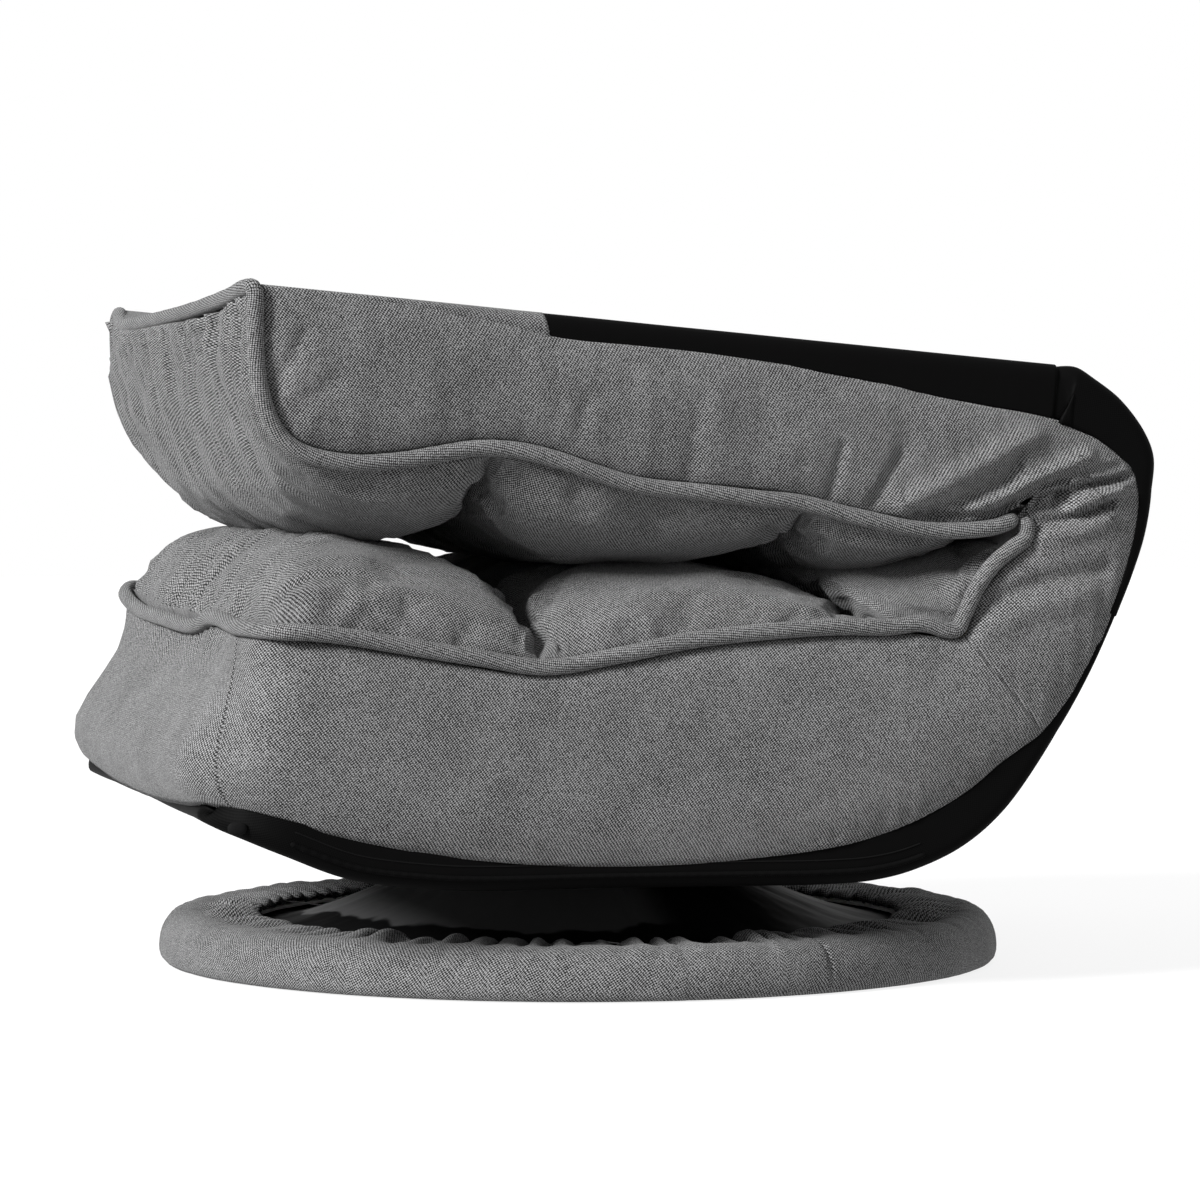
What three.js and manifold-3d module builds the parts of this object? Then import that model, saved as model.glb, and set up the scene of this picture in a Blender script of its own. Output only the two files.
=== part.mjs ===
// Padded folding floor chair on a round swivel base, folded shut.
// Millimetres, +Z up, front towards -Y, the sitter's left towards +X.
// The swivel axis is X = Y = 0 and the floor is Z = 0.
import * as THREE from 'three';
import { mergeVertices } from 'three/addons/utils/BufferGeometryUtils.js';
import Module from 'manifold-3d';

const wasm = await Module();
wasm.setup();

// General clearances
const GAP = 0.35; // between faces that touch on the real chair
const HOLE_GAP = 0.35; // radial, between a fastener and its hole

// Base ring
const RING_RADIUS = 246; // to the centre of the tube
const RING_TUBE = 9.5; // radius of the steel tube
const SLEEVE_WALL = 3; // foam round the tube
const COVER_WALL = 1.6; // fabric cover
const HEM_RADIUS = RING_RADIUS - 41; // gathered inner edge of the cover
const HEM_HEIGHT = 28;
const HEM_GATHERS = 18;
const GATHER_DEPTH = 4;
const ELASTIC_RADIUS = 1.65;
const COVER_TURN_IN = 6; // how far the cover runs inwards of the hem, underneath
const CLOTH_WALL = 1.2; // bottom cloth

// Swivel bearing
const PLATE = { side: 150, wall: 2.5, corner: 14, screwInset: 15 };
const RAIL = { y: PLATE.side / 2 - PLATE.screwInset, wide: 25, tall: 10 };
const BALL = { radius: 3, count: 6, race: 50 }; // race: radius of the ball circle
const CAGE = { wide: 14, wall: 1.2 };
const RIVET = { shank: 5, head: 9, headTall: 2.6 };
const PLATE_SPACE = 2 * BALL.radius - 1.6; // between the two grooved plates
const SCREW = { shank: 2.5, head: 5, headTall: 2.2, deep: 9 };
const BOLT = { x: 45, shank: 3, head: 5, headTall: 3.4 };
const PEDESTAL = { radius: 60, wall: 2, flange: Math.hypot(BOLT.x, RAIL.y) + 11 };
const SHEET = { wall: 1, flat: HEM_RADIUS - 13, neck: PEDESTAL.flange + 8 };

// Upholstery
const HALF_WIDTH = 262; // face of the side panels, before their bulge
const SIDE_BULGE = 7;
const PANEL_WALL = 6; // fabric with its thin foam
const LINING_WALL = 2.5;
const PIPING = 5; // radius
const PAD_EDGE = 5; // half thickness of a pad at its seam
const SLING_WALL = 1.5;
const TUBE = 9.5; // radius of the seat and back frame tubes

// Seat
const SEAT_BOTTOM = 66;
const SEAT_TOP = SEAT_BOTTOM + 151; // height of the piping
const SEAT_FRONT = -281;
const SEAT_CORNER = 45; // plan radius of the front corners
const SEAT_SEAM_FRONT = SEAT_FRONT + 30; // front run of the piping
const SEAT_TUFTS = [-67, 118]; // y of the sewn lines across the pad

// Hinge
const HINGE = new THREE.Vector2(237, SEAT_TOP + 101); // y and z of the fold axis
const WRAP_RADIUS = 49;
const ARM = { wall: 4, x: HALF_WIDTH - 48, width: 9 };
const CHEEK = { wall: 2.5, width: 9 };
const RATCHET = { root: 22, tip: 26, teeth: 7, pitch: 12, first: 84 };
const PIN = { radius: 5, head: 9, headTall: 2 };
const PAWL = { bore: 3, lifted: 12 };

// Back, as it lies folded on the seat
const BACK_FREE_END = SEAT_SEAM_FRONT - 1;
const BACK_SLOPE = 0.0955; // rise of the outer face towards the free end
const BACK_TUFTS = [-103, 74];
const PATCH_START = -84; // where the grey head patch meets the black lining

const v2 = (y, z) => new THREE.Vector2(y, z);
const v3 = (x, y, z) => new THREE.Vector3(x, y, z);
const fromHinge = (dy, dz) => v2(HINGE.x + dy, HINGE.y + dz);

// Materials
const material = (color, roughness, metalness = 0) =>
  new THREE.MeshStandardMaterial({ color, roughness, metalness });
const greyLinen = material(0x6f6f70, 0.95);
const blackCloth = material(0x0d0d0e, 0.8);
const blackVinyl = material(0x08080a, 0.2);
const paintedSteel = material(0x1c1c1e, 0.45, 0.6);
const plainSteel = material(0x9a9ca0, 0.35, 1);
const paleFoam = material(0xd9d2b8, 0.95);
const whiteNylon = material(0xd8d8d4, 0.5);

const chair = new THREE.Group();
function add(name, geometry, surface) {
  const mesh = new THREE.Mesh(geometry, surface);
  mesh.name = name;
  chair.add(mesh);
}
function mirrored(geometry) {
  const copy = geometry.clone().scale(-1, 1, 1);
  return facingOut(copy);
}
// The sitter's left is +X.
function addPair(name, geometry, surface) {
  add(`${name}_left`, geometry, surface);
  add(`${name}_right`, mirrored(geometry), surface);
}

// Closed, indexed geometry whose faces point outwards.
function facingOut(geometry) {
  const clean = geometry.clone();
  clean.deleteAttribute('normal');
  clean.deleteAttribute('uv');
  const merged = mergeVertices(clean, 1e-4);
  const place = merged.attributes.position;
  const index = Array.from(merged.index.array);
  const [a, b, c] = [v3(), v3(), v3()];
  const kept = [];
  let volume = 0;
  for (let i = 0; i < index.length; i += 3) {
    const [p, q, r] = index.slice(i, i + 3);
    if (p === q || q === r || r === p) continue;
    kept.push(p, q, r);
    a.fromBufferAttribute(place, p);
    b.fromBufferAttribute(place, q);
    c.fromBufferAttribute(place, r);
    volume += a.dot(b.cross(c));
  }
  merged.setIndex(volume < 0 ? kept.reverse() : kept);
  return merged;
}

// Booleans
function toSolid(geometry) {
  const clean = facingOut(geometry);
  return new wasm.Manifold(new wasm.Mesh({
    numProp: 3,
    vertProperties: new Float32Array(clean.attributes.position.array),
    triVerts: new Uint32Array(clean.index.array),
  }));
}
function toGeometry(solid) {
  const mesh = solid.getMesh();
  const geometry = new THREE.BufferGeometry();
  const places = [];
  for (let i = 0; i < mesh.vertProperties.length; i += mesh.numProp) {
    places.push(...mesh.vertProperties.slice(i, i + 3));
  }
  geometry.setAttribute('position', new THREE.Float32BufferAttribute(places, 3));
  geometry.setIndex(Array.from(mesh.triVerts));
  return geometry;
}
const cut = (body, ...tools) =>
  toGeometry(tools.reduce((left, tool) => left.subtract(toSolid(tool)), toSolid(body)));
const join = (...bodies) => toGeometry(bodies.map(toSolid).reduce((sum, body) => sum.add(body)));
const overlap = (a, b) => toGeometry(toSolid(a).intersect(toSolid(b)));

// Upright cylinder between two heights
const post = (x, y, low, high, radius, sides = 8) =>
  new THREE.CylinderGeometry(radius, radius, high - low, sides)
    .rotateX(Math.PI / 2).translate(x, y, (low + high) / 2);
// Round bar along X between two places
const barX = (x0, x1, y, z, radius, sides = 12) =>
  new THREE.CylinderGeometry(radius, radius, x1 - x0, sides)
    .rotateZ(Math.PI / 2).translate((x0 + x1) / 2, y, z);
const block = (x0, x1, y0, y1, z0, z1) =>
  new THREE.BoxGeometry(x1 - x0, y1 - y0, z1 - z0)
    .translate((x0 + x1) / 2, (y0 + y1) / 2, (z0 + z1) / 2);
// Turned piece: points are [radius, height], about the Z axis
const turned = (points, sides) =>
  new THREE.LatheGeometry(points.map(([r, z]) => v2(r, z)), sides).rotateX(Math.PI / 2);
// Ring of round section about the Z axis
const hoop = (radius, tube, z, sides, around) =>
  new THREE.TorusGeometry(radius, tube, sides, around).translate(0, 0, z);
// Plate whose outline lies in the YZ plane, from x0 to x1
function plateX(outline, x0, x1) {
  const shape = new THREE.Shape(outline);
  const turn = new THREE.Matrix4().makeBasis(v3(0, 1, 0), v3(0, 0, 1), v3(1, 0, 0));
  return facingOut(new THREE.ExtrudeGeometry(shape, { depth: x1 - x0, bevelEnabled: false })
    .applyMatrix4(turn).translate(x0, 0, 0));
}
// Tube of round section along a curve through the given places
function tube(places, radius, steps, sides = 7) {
  const section = new THREE.Shape();
  for (let i = 0; i < sides; i += 1) {
    const angle = (2 * Math.PI * (i + 0.5)) / sides;
    const [a, b] = [radius * Math.cos(angle), radius * Math.sin(angle)];
    if (i === 0) section.moveTo(a, b);
    else section.lineTo(a, b);
  }
  const path = new THREE.CatmullRomCurve3(places, false, 'centripetal');
  return new THREE.ExtrudeGeometry(section, { steps, extrudePath: path, bevelEnabled: false });
}

// A curved wall: each ring pairs outer points with inner ones, and the rings follow one another.
function shell(rings, closed = false) {
  const per = rings[0].outer.length;
  const places = [];
  for (const { outer, inner } of rings) {
    for (const p of [...outer, ...[...inner].reverse()]) places.push(p.x, p.y, p.z);
  }
  const round = 2 * per;
  const index = [];
  const quad = (a, b, c, d) => index.push(a, b, c, a, c, d);
  const last = closed ? rings.length : rings.length - 1;
  for (let i = 0; i < last; i += 1) {
    const here = i * round;
    const next = ((i + 1) % rings.length) * round;
    for (let j = 0; j < round; j += 1) {
      const k = (j + 1) % round;
      quad(here + j, here + k, next + k, next + j);
    }
  }
  if (!closed) {
    const end = (rings.length - 1) * round;
    for (let j = 0; j < per - 1; j += 1) {
      quad(j, round - 1 - j, round - 2 - j, j + 1);
      quad(end + j, end + j + 1, end + round - 2 - j, end + round - 1 - j);
    }
  }
  const geometry = new THREE.BufferGeometry();
  geometry.setAttribute('position', new THREE.Float32BufferAttribute(places, 3));
  geometry.setIndex(index);
  return facingOut(geometry);
}

// Smooth line through points, as a list of points
function smooth(points, count) {
  const curve = new THREE.CatmullRomCurve3(points.map((p) => v3(0, p.x, p.y)), false, 'centripetal');
  return curve.getSpacedPoints(count).map((p) => v2(p.y, p.z));
}
// Unit normal to the left of the line's direction, at each point
function normals(line) {
  return line.map((_, i) => {
    const before = line[Math.max(i - 1, 0)];
    const after = line[Math.min(i + 1, line.length - 1)];
    const along = after.clone().sub(before).normalize();
    return v2(-along.y, along.x);
  });
}
function offset(line, distance) {
  const side = normals(line);
  return line.map((p, i) => p.clone().addScaledVector(side[i], distance));
}
// Height of a line at a given y
function heightAt(line, y) {
  const points = line[0].x < line[line.length - 1].x ? line : [...line].reverse();
  if (y <= points[0].x) return points[0].y;
  for (let i = 1; i < points.length; i += 1) {
    if (y <= points[i].x) {
      const [a, b] = [points[i - 1], points[i]];
      return a.y + ((b.y - a.y) * (y - a.x)) / (b.x - a.x || 1);
    }
  }
  return points[points.length - 1].y;
}
// How far a rounded corner draws in, at a distance behind its front
function cornerInset(behind, radius) {
  if (behind >= radius) return 0;
  const left = radius - Math.max(behind, 0);
  return radius - Math.sqrt(radius * radius - left * left);
}

// Outlines of the seat, in y and z

// Underside and rear, from the front edge to where the hinge wrap takes over
const seatSkin = smooth([
  v2(SEAT_FRONT, SEAT_BOTTOM + 43),
  v2(SEAT_FRONT + 46, SEAT_BOTTOM + 23),
  v2(SEAT_FRONT + 100, SEAT_BOTTOM + 6),
  v2(SEAT_FRONT + 160, SEAT_BOTTOM),
  v2(SEAT_FRONT + 172, SEAT_BOTTOM),
  v2(0, SEAT_BOTTOM),
  v2(HINGE.x - 138, SEAT_BOTTOM),
  v2(HINGE.x - 126, SEAT_BOTTOM),
  v2(HINGE.x - 85, SEAT_BOTTOM + 10),
  v2(HINGE.x - 42, SEAT_BOTTOM + 40),
  fromHinge(6, -140),
  fromHinge(27, -90),
  fromHinge(37, -60),
], 26);
// Rows across the pad: the seam at the side, then the pad's face at mid width
const seatRow = (seamY, seamRise, crownY, crownRise) =>
  [v2(seamY, SEAT_TOP + seamRise), v2(crownY, SEAT_TOP + crownRise)];
const [tuftA, tuftB] = SEAT_TUFTS;
const seatPadRows = [
  seatRow(SEAT_SEAM_FRONT + 6, 0, SEAT_SEAM_FRONT + 6, 4),
  seatRow(SEAT_SEAM_FRONT + 9, -1, SEAT_SEAM_FRONT + 12, 23),
  seatRow(SEAT_SEAM_FRONT + 18, -2, SEAT_SEAM_FRONT + 30, 41),
  seatRow(SEAT_SEAM_FRONT + 51, -5, SEAT_SEAM_FRONT + 61, 48),
  seatRow(SEAT_SEAM_FRONT + 91, -8, SEAT_SEAM_FRONT + 96, 44),
  seatRow(tuftA - 43, -15, tuftA - 43, 29),
  seatRow(tuftA - 17, -21, tuftA - 15, 5),
  seatRow(tuftA, -23, tuftA, -17),
  seatRow(tuftA + 15, -20, tuftA + 13, 7),
  seatRow(tuftA + 42, -13, tuftA + 39, 28),
  seatRow(tuftB - 94, -5, tuftB - 96, 33),
  seatRow(tuftB - 48, -1, tuftB - 46, 25),
  seatRow(tuftB - 18, 0, tuftB - 14, 11),
  seatRow(tuftB - 1, 0, tuftB, 4),
  seatRow(tuftB + 14, 0, tuftB + 9, 13),
  [fromHinge(-90, -102), fromHinge(-104, -82)],
  [fromHinge(-76, -100), fromHinge(-96, -72)],
  [fromHinge(-62, -90), fromHinge(-82, -66)],
  [fromHinge(-50, -74), fromHinge(-63, -59)],
  [fromHinge(-37, -56), fromHinge(-41, -53)],
];

// Outlines of the back

const BACK_SKIN_START = HINGE.x - 2; // the wrap takes over here
const backFaceAt = (y) => HINGE.y + WRAP_RADIUS + (BACK_SKIN_START - y) * BACK_SLOPE;
const backSkinBetween = (start, end, count) => Array.from({ length: count + 1 }, (_, i) => {
  const y = start + ((end - start) * i) / count;
  return v2(y, backFaceAt(y));
});
const backSkin = backSkinBetween(BACK_SKIN_START, BACK_FREE_END, 16);
const backRow = (seamY, seamRise, crownY, crownRise) =>
  [v2(seamY, HINGE.y + seamRise), v2(crownY, HINGE.y + crownRise)];
const [tuftC, tuftD] = BACK_TUFTS;
const backPadRows = [
  [fromHinge(-51, -39), fromHinge(-51, -46)],
  backRow(tuftD + 76, -44, tuftD + 76, -63),
  backRow(tuftD + 36, -38, tuftD + 34, -68),
  backRow(tuftD + 14, -34, tuftD + 14, -56),
  backRow(tuftD, -32, tuftD, -37),
  backRow(tuftD - 14, -30, tuftD - 14, -51),
  backRow(tuftD - 49, -26, tuftD - 49, -61),
  backRow(tuftC + 73, -19, tuftC + 73, -60),
  backRow(tuftC + 37, -8, tuftC + 33, -50),
  backRow(tuftC + 13, -2, tuftC + 11, -26),
  backRow(tuftC, 1, tuftC, -7),
  backRow(tuftC - 22, 3, tuftC - 19, -30),
  backRow(tuftC - 47, -1, tuftC - 47, -42),
  backRow(BACK_FREE_END + 57, -5, BACK_FREE_END + 56, -45),
  backRow(BACK_FREE_END + 30, -1, BACK_FREE_END + 26, -41),
  backRow(BACK_FREE_END + 12, 12, BACK_FREE_END + 5, -22),
  backRow(BACK_FREE_END + 4, 30, BACK_FREE_END - 6, 12),
  backRow(BACK_FREE_END + 1, 52, BACK_FREE_END - 11, 47),
  backRow(BACK_FREE_END, 71, BACK_FREE_END - 9, 71),
  backRow(BACK_FREE_END, 79, BACK_FREE_END - 4, 79),
];

// Tufted pad: its rows are smoothed, and the crown falls away to the seam at both sides.
function padRows(rows, count) {
  const curveOf = (k) =>
    new THREE.CatmullRomCurve3(rows.map((row) => v3(0, row[k].x, row[k].y)), false, 'catmullrom', 0.4);
  const [seam, crown] = [curveOf(0), curveOf(1)];
  return Array.from({ length: count + 1 }, (_, i) => {
    const [s, c] = [seam.getPoint(i / count), crown.getPoint(i / count)];
    return { seam: v2(s.y, s.z), crown: v2(c.y, c.z) };
  });
}
const CROWN_POWER = 7; // how full the pad stays towards its sides
function tuftedPad(rows, widthAt, across) {
  return shell(rows.map(({ seam, crown }) => {
    const rise = crown.clone().sub(seam);
    const up = rise.clone().normalize();
    const half = widthAt(seam);
    const outer = [];
    const inner = [];
    for (let j = 0; j <= across; j += 1) {
      const s = Math.sin((Math.PI / 2) * ((2 * j) / across - 1));
      const full = Math.sqrt(1 - Math.abs(s) ** CROWN_POWER);
      const top = seam.clone().addScaledVector(up, 2).addScaledVector(rise, full);
      const under = seam.clone().addScaledVector(up, -PAD_EDGE);
      outer.push(v3(s * half, top.x, top.y));
      inner.push(v3(s * half, under.x, under.y));
    }
    return { outer, inner };
  }));
}

// Lining: a thin skin along a line with a side flange at each edge.
function tray(line, inward, flange, widthAt) {
  const [round, wall] = [4, LINING_WALL];
  return shell(line.map((p, i) => {
    const at = (x, deep) => v3(x, p.x + inward[i].x * deep, p.y + inward[i].y * deep);
    const half = widthAt(p);
    const deep = flange(p);
    const outer = [at(-half, deep), at(-half, round), at(round - half, 0)];
    const inner = [at(wall - half, deep), at(wall - half, round), at(round - half, wall)];
    const otherSide = (q) => v3(-q.x, q.y, q.z);
    return {
      outer: [...outer, ...outer.map(otherSide).reverse()],
      inner: [...inner, ...inner.map(otherSide).reverse()],
    };
  }));
}

// Upright band: path points carry their outward direction, low and high give its edges.
function band(path, low, high, bulge, wall, rise) {
  return shell(path.map(({ x, y, nx, ny }) => {
    const outer = [];
    const inner = [];
    for (let j = 0; j <= rise; j += 1) {
      const t = j / rise;
      const z = low(y) + (high(y) - low(y)) * t;
      const out = bulge(t, Math.abs(ny));
      outer.push(v3(x + nx * out, y + ny * out, z));
      inner.push(v3(x + nx * (out - wall), y + ny * (out - wall), z));
    }
    return { outer, inner };
  }));
}
const sideBulge = (t) => SIDE_BULGE * Math.sin(Math.PI * t);

// Base

const RING_SIDES = 8;
const RING_STEPS = 32; // facets round the ring
const COVER_ARC = { from: 0.56 * Math.PI, sweep: 1.06 * Math.PI, steps: 5 };
const sleeveOuter = RING_TUBE + GAP + SLEEVE_WALL;
const coverInner = (sleeveOuter + GAP) / Math.cos(COVER_ARC.sweep / COVER_ARC.steps / 2);
const coverOuter = coverInner + COVER_WALL;
const ringCentre = coverOuter; // height of the tube's centre above the floor
const railTop = ringCentre + RAIL.tall / 2;
const lowerPlate = railTop + GAP;
const upperPlate = lowerPlate + PLATE.wall + PLATE_SPACE;
const ballHeight = lowerPlate + PLATE.wall + PLATE_SPACE / 2;
const seatLiningTop = SEAT_BOTTOM + LINING_WALL;
const frameAbove = LINING_WALL + GAP + TUBE; // tube centre, measured in from the skin

function baseRing() {
  add('base_ring_tube', hoop(RING_RADIUS, RING_TUBE, ringCentre, RING_SIDES, RING_STEPS), paintedSteel);
  const open = 0.72 * Math.PI; // the sleeve is slit on its inner side, where the rails pass
  const steps = 5;
  const arc = (radius, j) => {
    const angle = -open + (2 * open * j) / steps;
    return [RING_RADIUS + radius * Math.cos(angle), ringCentre + radius * Math.sin(angle)];
  };
  const outer = Array.from({ length: steps + 1 }, (_, j) => arc(sleeveOuter, j));
  const faceted = (RING_TUBE + GAP) / Math.cos(open / steps);
  const inner = Array.from({ length: steps + 1 }, (_, j) => arc(faceted, j)).reverse();
  add('base_foam_sleeve', turned([...outer, ...inner, outer[0]], RING_STEPS), paleFoam);
}

// The cover: round the sleeve outside, up to the gathered hem inside.
function baseCover() {
  const around = HEM_GATHERS * 3;
  const section = (thick, lift) => {
    const points = [[HEM_RADIUS, HEM_HEIGHT + lift], [HEM_RADIUS + 18, HEM_HEIGHT - 2 + 0.5 * lift]];
    for (let j = 0; j <= COVER_ARC.steps; j += 1) {
      const angle = COVER_ARC.from - (COVER_ARC.sweep * j) / COVER_ARC.steps;
      points.push([RING_RADIUS + coverOuter * Math.cos(angle), ringCentre + coverOuter * Math.sin(angle)]);
    }
    points.push([HEM_RADIUS - COVER_TURN_IN, 0]);
    const line = points.map(([r, z]) => v2(r, z));
    return offset(line, -thick).map((p) => [p.x, Math.max(p.y, thick)]);
  };
  const rings = Array.from({ length: around }, (_, i) => {
    const angle = (2 * Math.PI * i) / around;
    const lift = GATHER_DEPTH * (0.5 + 0.5 * Math.cos(HEM_GATHERS * angle));
    const turn = ([r, z]) => v3(r * Math.cos(angle), r * Math.sin(angle), z);
    return { outer: section(0, lift).map(turn), inner: section(COVER_WALL, lift).map(turn) };
  });
  add('base_cover', shell(rings, true), greyLinen);
  const elasticHeight = HEM_HEIGHT - COVER_WALL - GAP - ELASTIC_RADIUS - 0.4;
  const elastic = hoop(HEM_RADIUS + ELASTIC_RADIUS, ELASTIC_RADIUS, elasticHeight, 5, RING_STEPS);
  add('base_hem_elastic', elastic, whiteNylon);
  const clothRadius = HEM_RADIUS - COVER_TURN_IN - GAP - 0.3;
  add('base_bottom_cloth', post(0, 0, 0, CLOTH_WALL, clothRadius, RING_STEPS), blackCloth);
}

function baseRails() {
  const reach = Math.sqrt(RING_RADIUS ** 2 - RAIL.y ** 2);
  const ring = hoop(RING_RADIUS, RING_TUBE + GAP, ringCentre, RING_SIDES, RING_STEPS);
  for (const [name, y] of [['front', -RAIL.y], ['rear', RAIL.y]]) {
    const bar = block(-reach, reach, y - RAIL.wide / 2, y + RAIL.wide / 2, railTop - RAIL.tall, railTop);
    const holes = [-RAIL.y, RAIL.y].map((x) =>
      post(x, y, railTop - SCREW.deep - 1, railTop + 1, SCREW.shank + HOLE_GAP));
    const trimmed = toSolid(cut(bar, ring, ...holes)).decompose();
    trimmed.sort((a, b) => b.volume() - a.volume());
    add(`base_rail_${name}`, toGeometry(trimmed[0]), paintedSteel);
  }
}

const roundedSquare = (side, corner) => {
  const h = side / 2;
  const shape = new THREE.Shape();
  shape.absarc(h - corner, h - corner, corner, 0, Math.PI / 2);
  shape.absarc(corner - h, h - corner, corner, Math.PI / 2, Math.PI);
  shape.absarc(corner - h, corner - h, corner, Math.PI, 1.5 * Math.PI);
  shape.absarc(h - corner, corner - h, corner, 1.5 * Math.PI, 2 * Math.PI);
  return shape;
};
const bearingPlate = (z) => new THREE.ExtrudeGeometry(roundedSquare(PLATE.side, PLATE.corner), {
  depth: PLATE.wall, bevelEnabled: false, curveSegments: 4,
}).translate(0, 0, z);
const screwPlaces = [[1, 1], [-1, 1], [-1, -1], [1, -1]].map(([a, b]) => [a * RAIL.y, b * RAIL.y]);
const boltPlaces = [[1, 1], [-1, 1], [-1, -1], [1, -1]].map(([a, b]) => [a * BOLT.x, b * RAIL.y]);

// A fastener with its head above the shank, or below it when turned over
function headed(x, y, seatHeight, shank, shankLong, head, headTall, up = true) {
  const s = up ? 1 : -1;
  const points = [[0, -s * shankLong], [shank, -s * shankLong], [shank, 0], [head, 0],
    [head, s * headTall * 0.7], [head * 0.75, s * headTall], [0, s * headTall]];
  return facingOut(turned(points, 8).translate(x, y, seatHeight));
}

function swivelBearing() {
  const race = hoop(BALL.race, BALL.radius + GAP + 0.3, ballHeight, 6, 24);
  const centreHole = post(0, 0, 0, SEAT_BOTTOM, RIVET.shank + HOLE_GAP, 16);
  const screwHoles = screwPlaces.map(([x, y]) => post(x, y, 0, SEAT_BOTTOM, SCREW.shank + HOLE_GAP));
  add('swivel_lower_plate', cut(bearingPlate(lowerPlate), race, centreHole, ...screwHoles), plainSteel);
  screwPlaces.forEach(([x, y], i) => {
    const seat = lowerPlate + PLATE.wall + GAP;
    const screw = headed(x, y, seat, SCREW.shank, SCREW.deep, SCREW.head, SCREW.headTall);
    add(`base_screw_${i + 1}`, screw, plainSteel);
  });

  const half = CAGE.wide / 2;
  const ring = turned([
    [BALL.race - half, ballHeight - CAGE.wall / 2], [BALL.race + half, ballHeight - CAGE.wall / 2],
    [BALL.race + half, ballHeight + CAGE.wall / 2], [BALL.race - half, ballHeight + CAGE.wall / 2],
    [BALL.race - half, ballHeight - CAGE.wall / 2],
  ], 20);
  const ballPlaces = Array.from({ length: BALL.count }, (_, i) => {
    const angle = (2 * Math.PI * i) / BALL.count;
    return [BALL.race * Math.cos(angle), BALL.race * Math.sin(angle)];
  });
  const pockets = ballPlaces.map(([x, y]) =>
    post(x, y, ballHeight - BALL.radius, ballHeight + BALL.radius, BALL.radius + GAP));
  add('bearing_cage', cut(ring, ...pockets), whiteNylon);
  ballPlaces.forEach(([x, y], i) => {
    const ball = new THREE.IcosahedronGeometry(BALL.radius, 1).translate(x, y, ballHeight);
    add(`bearing_ball_${i + 1}`, facingOut(ball), plainSteel);
  });

  // Upper plate, welded to a flanged pedestal that lifts the seat clear of the ring
  const foot = upperPlate + PLATE.wall;
  const top = SEAT_BOTTOM - GAP;
  const { radius, wall, flange } = PEDESTAL;
  const pedestal = turned([
    [radius - wall, foot - 1], [radius, foot - 1], [radius, top - wall], [flange, top - wall],
    [flange, top], [radius - wall, top], [radius - wall, foot - 1],
  ], 20);
  const boltHoles = boltPlaces.map(([x, y]) => post(x, y, foot + 1, SEAT_BOTTOM, BOLT.shank + HOLE_GAP));
  const welded = join(bearingPlate(upperPlate), pedestal);
  add('swivel_pedestal', cut(welded, race, centreHole, ...boltHoles), paintedSteel);

  const rivetTop = upperPlate + PLATE.wall + GAP;
  const rivetLow = lowerPlate - GAP;
  add('swivel_rivet', facingOut(turned([
    [0, rivetLow - RIVET.headTall], [RIVET.head, rivetLow - RIVET.headTall], [RIVET.head, rivetLow],
    [RIVET.shank, rivetLow], [RIVET.shank, rivetTop], [RIVET.head, rivetTop],
    [RIVET.head * 0.7, rivetTop + RIVET.headTall], [0, rivetTop + RIVET.headTall],
  ], 16)), plainSteel);
}

// Vinyl sheet that hides the rails and rises to the pedestal
function dustSheet() {
  const low = railTop + GAP;
  const rim = HEM_RADIUS + 18;
  const { wall, flat, neck } = SHEET;
  const neckHeight = SEAT_BOTTOM - 11;
  add('base_dust_sheet', turned([
    [rim, low], [rim, low + wall], [flat, low + wall], [neck, neckHeight + wall],
    [neck, neckHeight], [flat, low], [rim, low],
  ], RING_STEPS), blackVinyl);
}

// Seat

const seatTubeX = ARM.x + ARM.wall - TUBE;
const seatInside = HALF_WIDTH - PANEL_WALL - GAP;
// Depth of the lining's side flange, at places along the seat
const seatFlangeDepths = [
  v2(SEAT_FRONT, 3), v2(SEAT_FRONT + 41, 17), v2(SEAT_FRONT + 141, 17), v2(-54, 14), v2(30, 16),
  v2(HINGE.x - 123, 25), v2(HINGE.x - 72, 27), v2(HINGE.x - 43, 24), v2(HINGE.x - 24, 18),
  v2(HINGE.x + 7, 9), v2(HINGE.x + 37, 6),
];
const seatFlange = (p) => heightAt(seatFlangeDepths, p.x);
const seatWidthAt = (p) => HALF_WIDTH - cornerInset(p.x - SEAT_FRONT, SEAT_CORNER);
const seatInward = normals(seatSkin);
const seatRows = padRows(seatPadRows, 32);
const seatSeam = seatRows.map((row) => row.seam);

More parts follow.
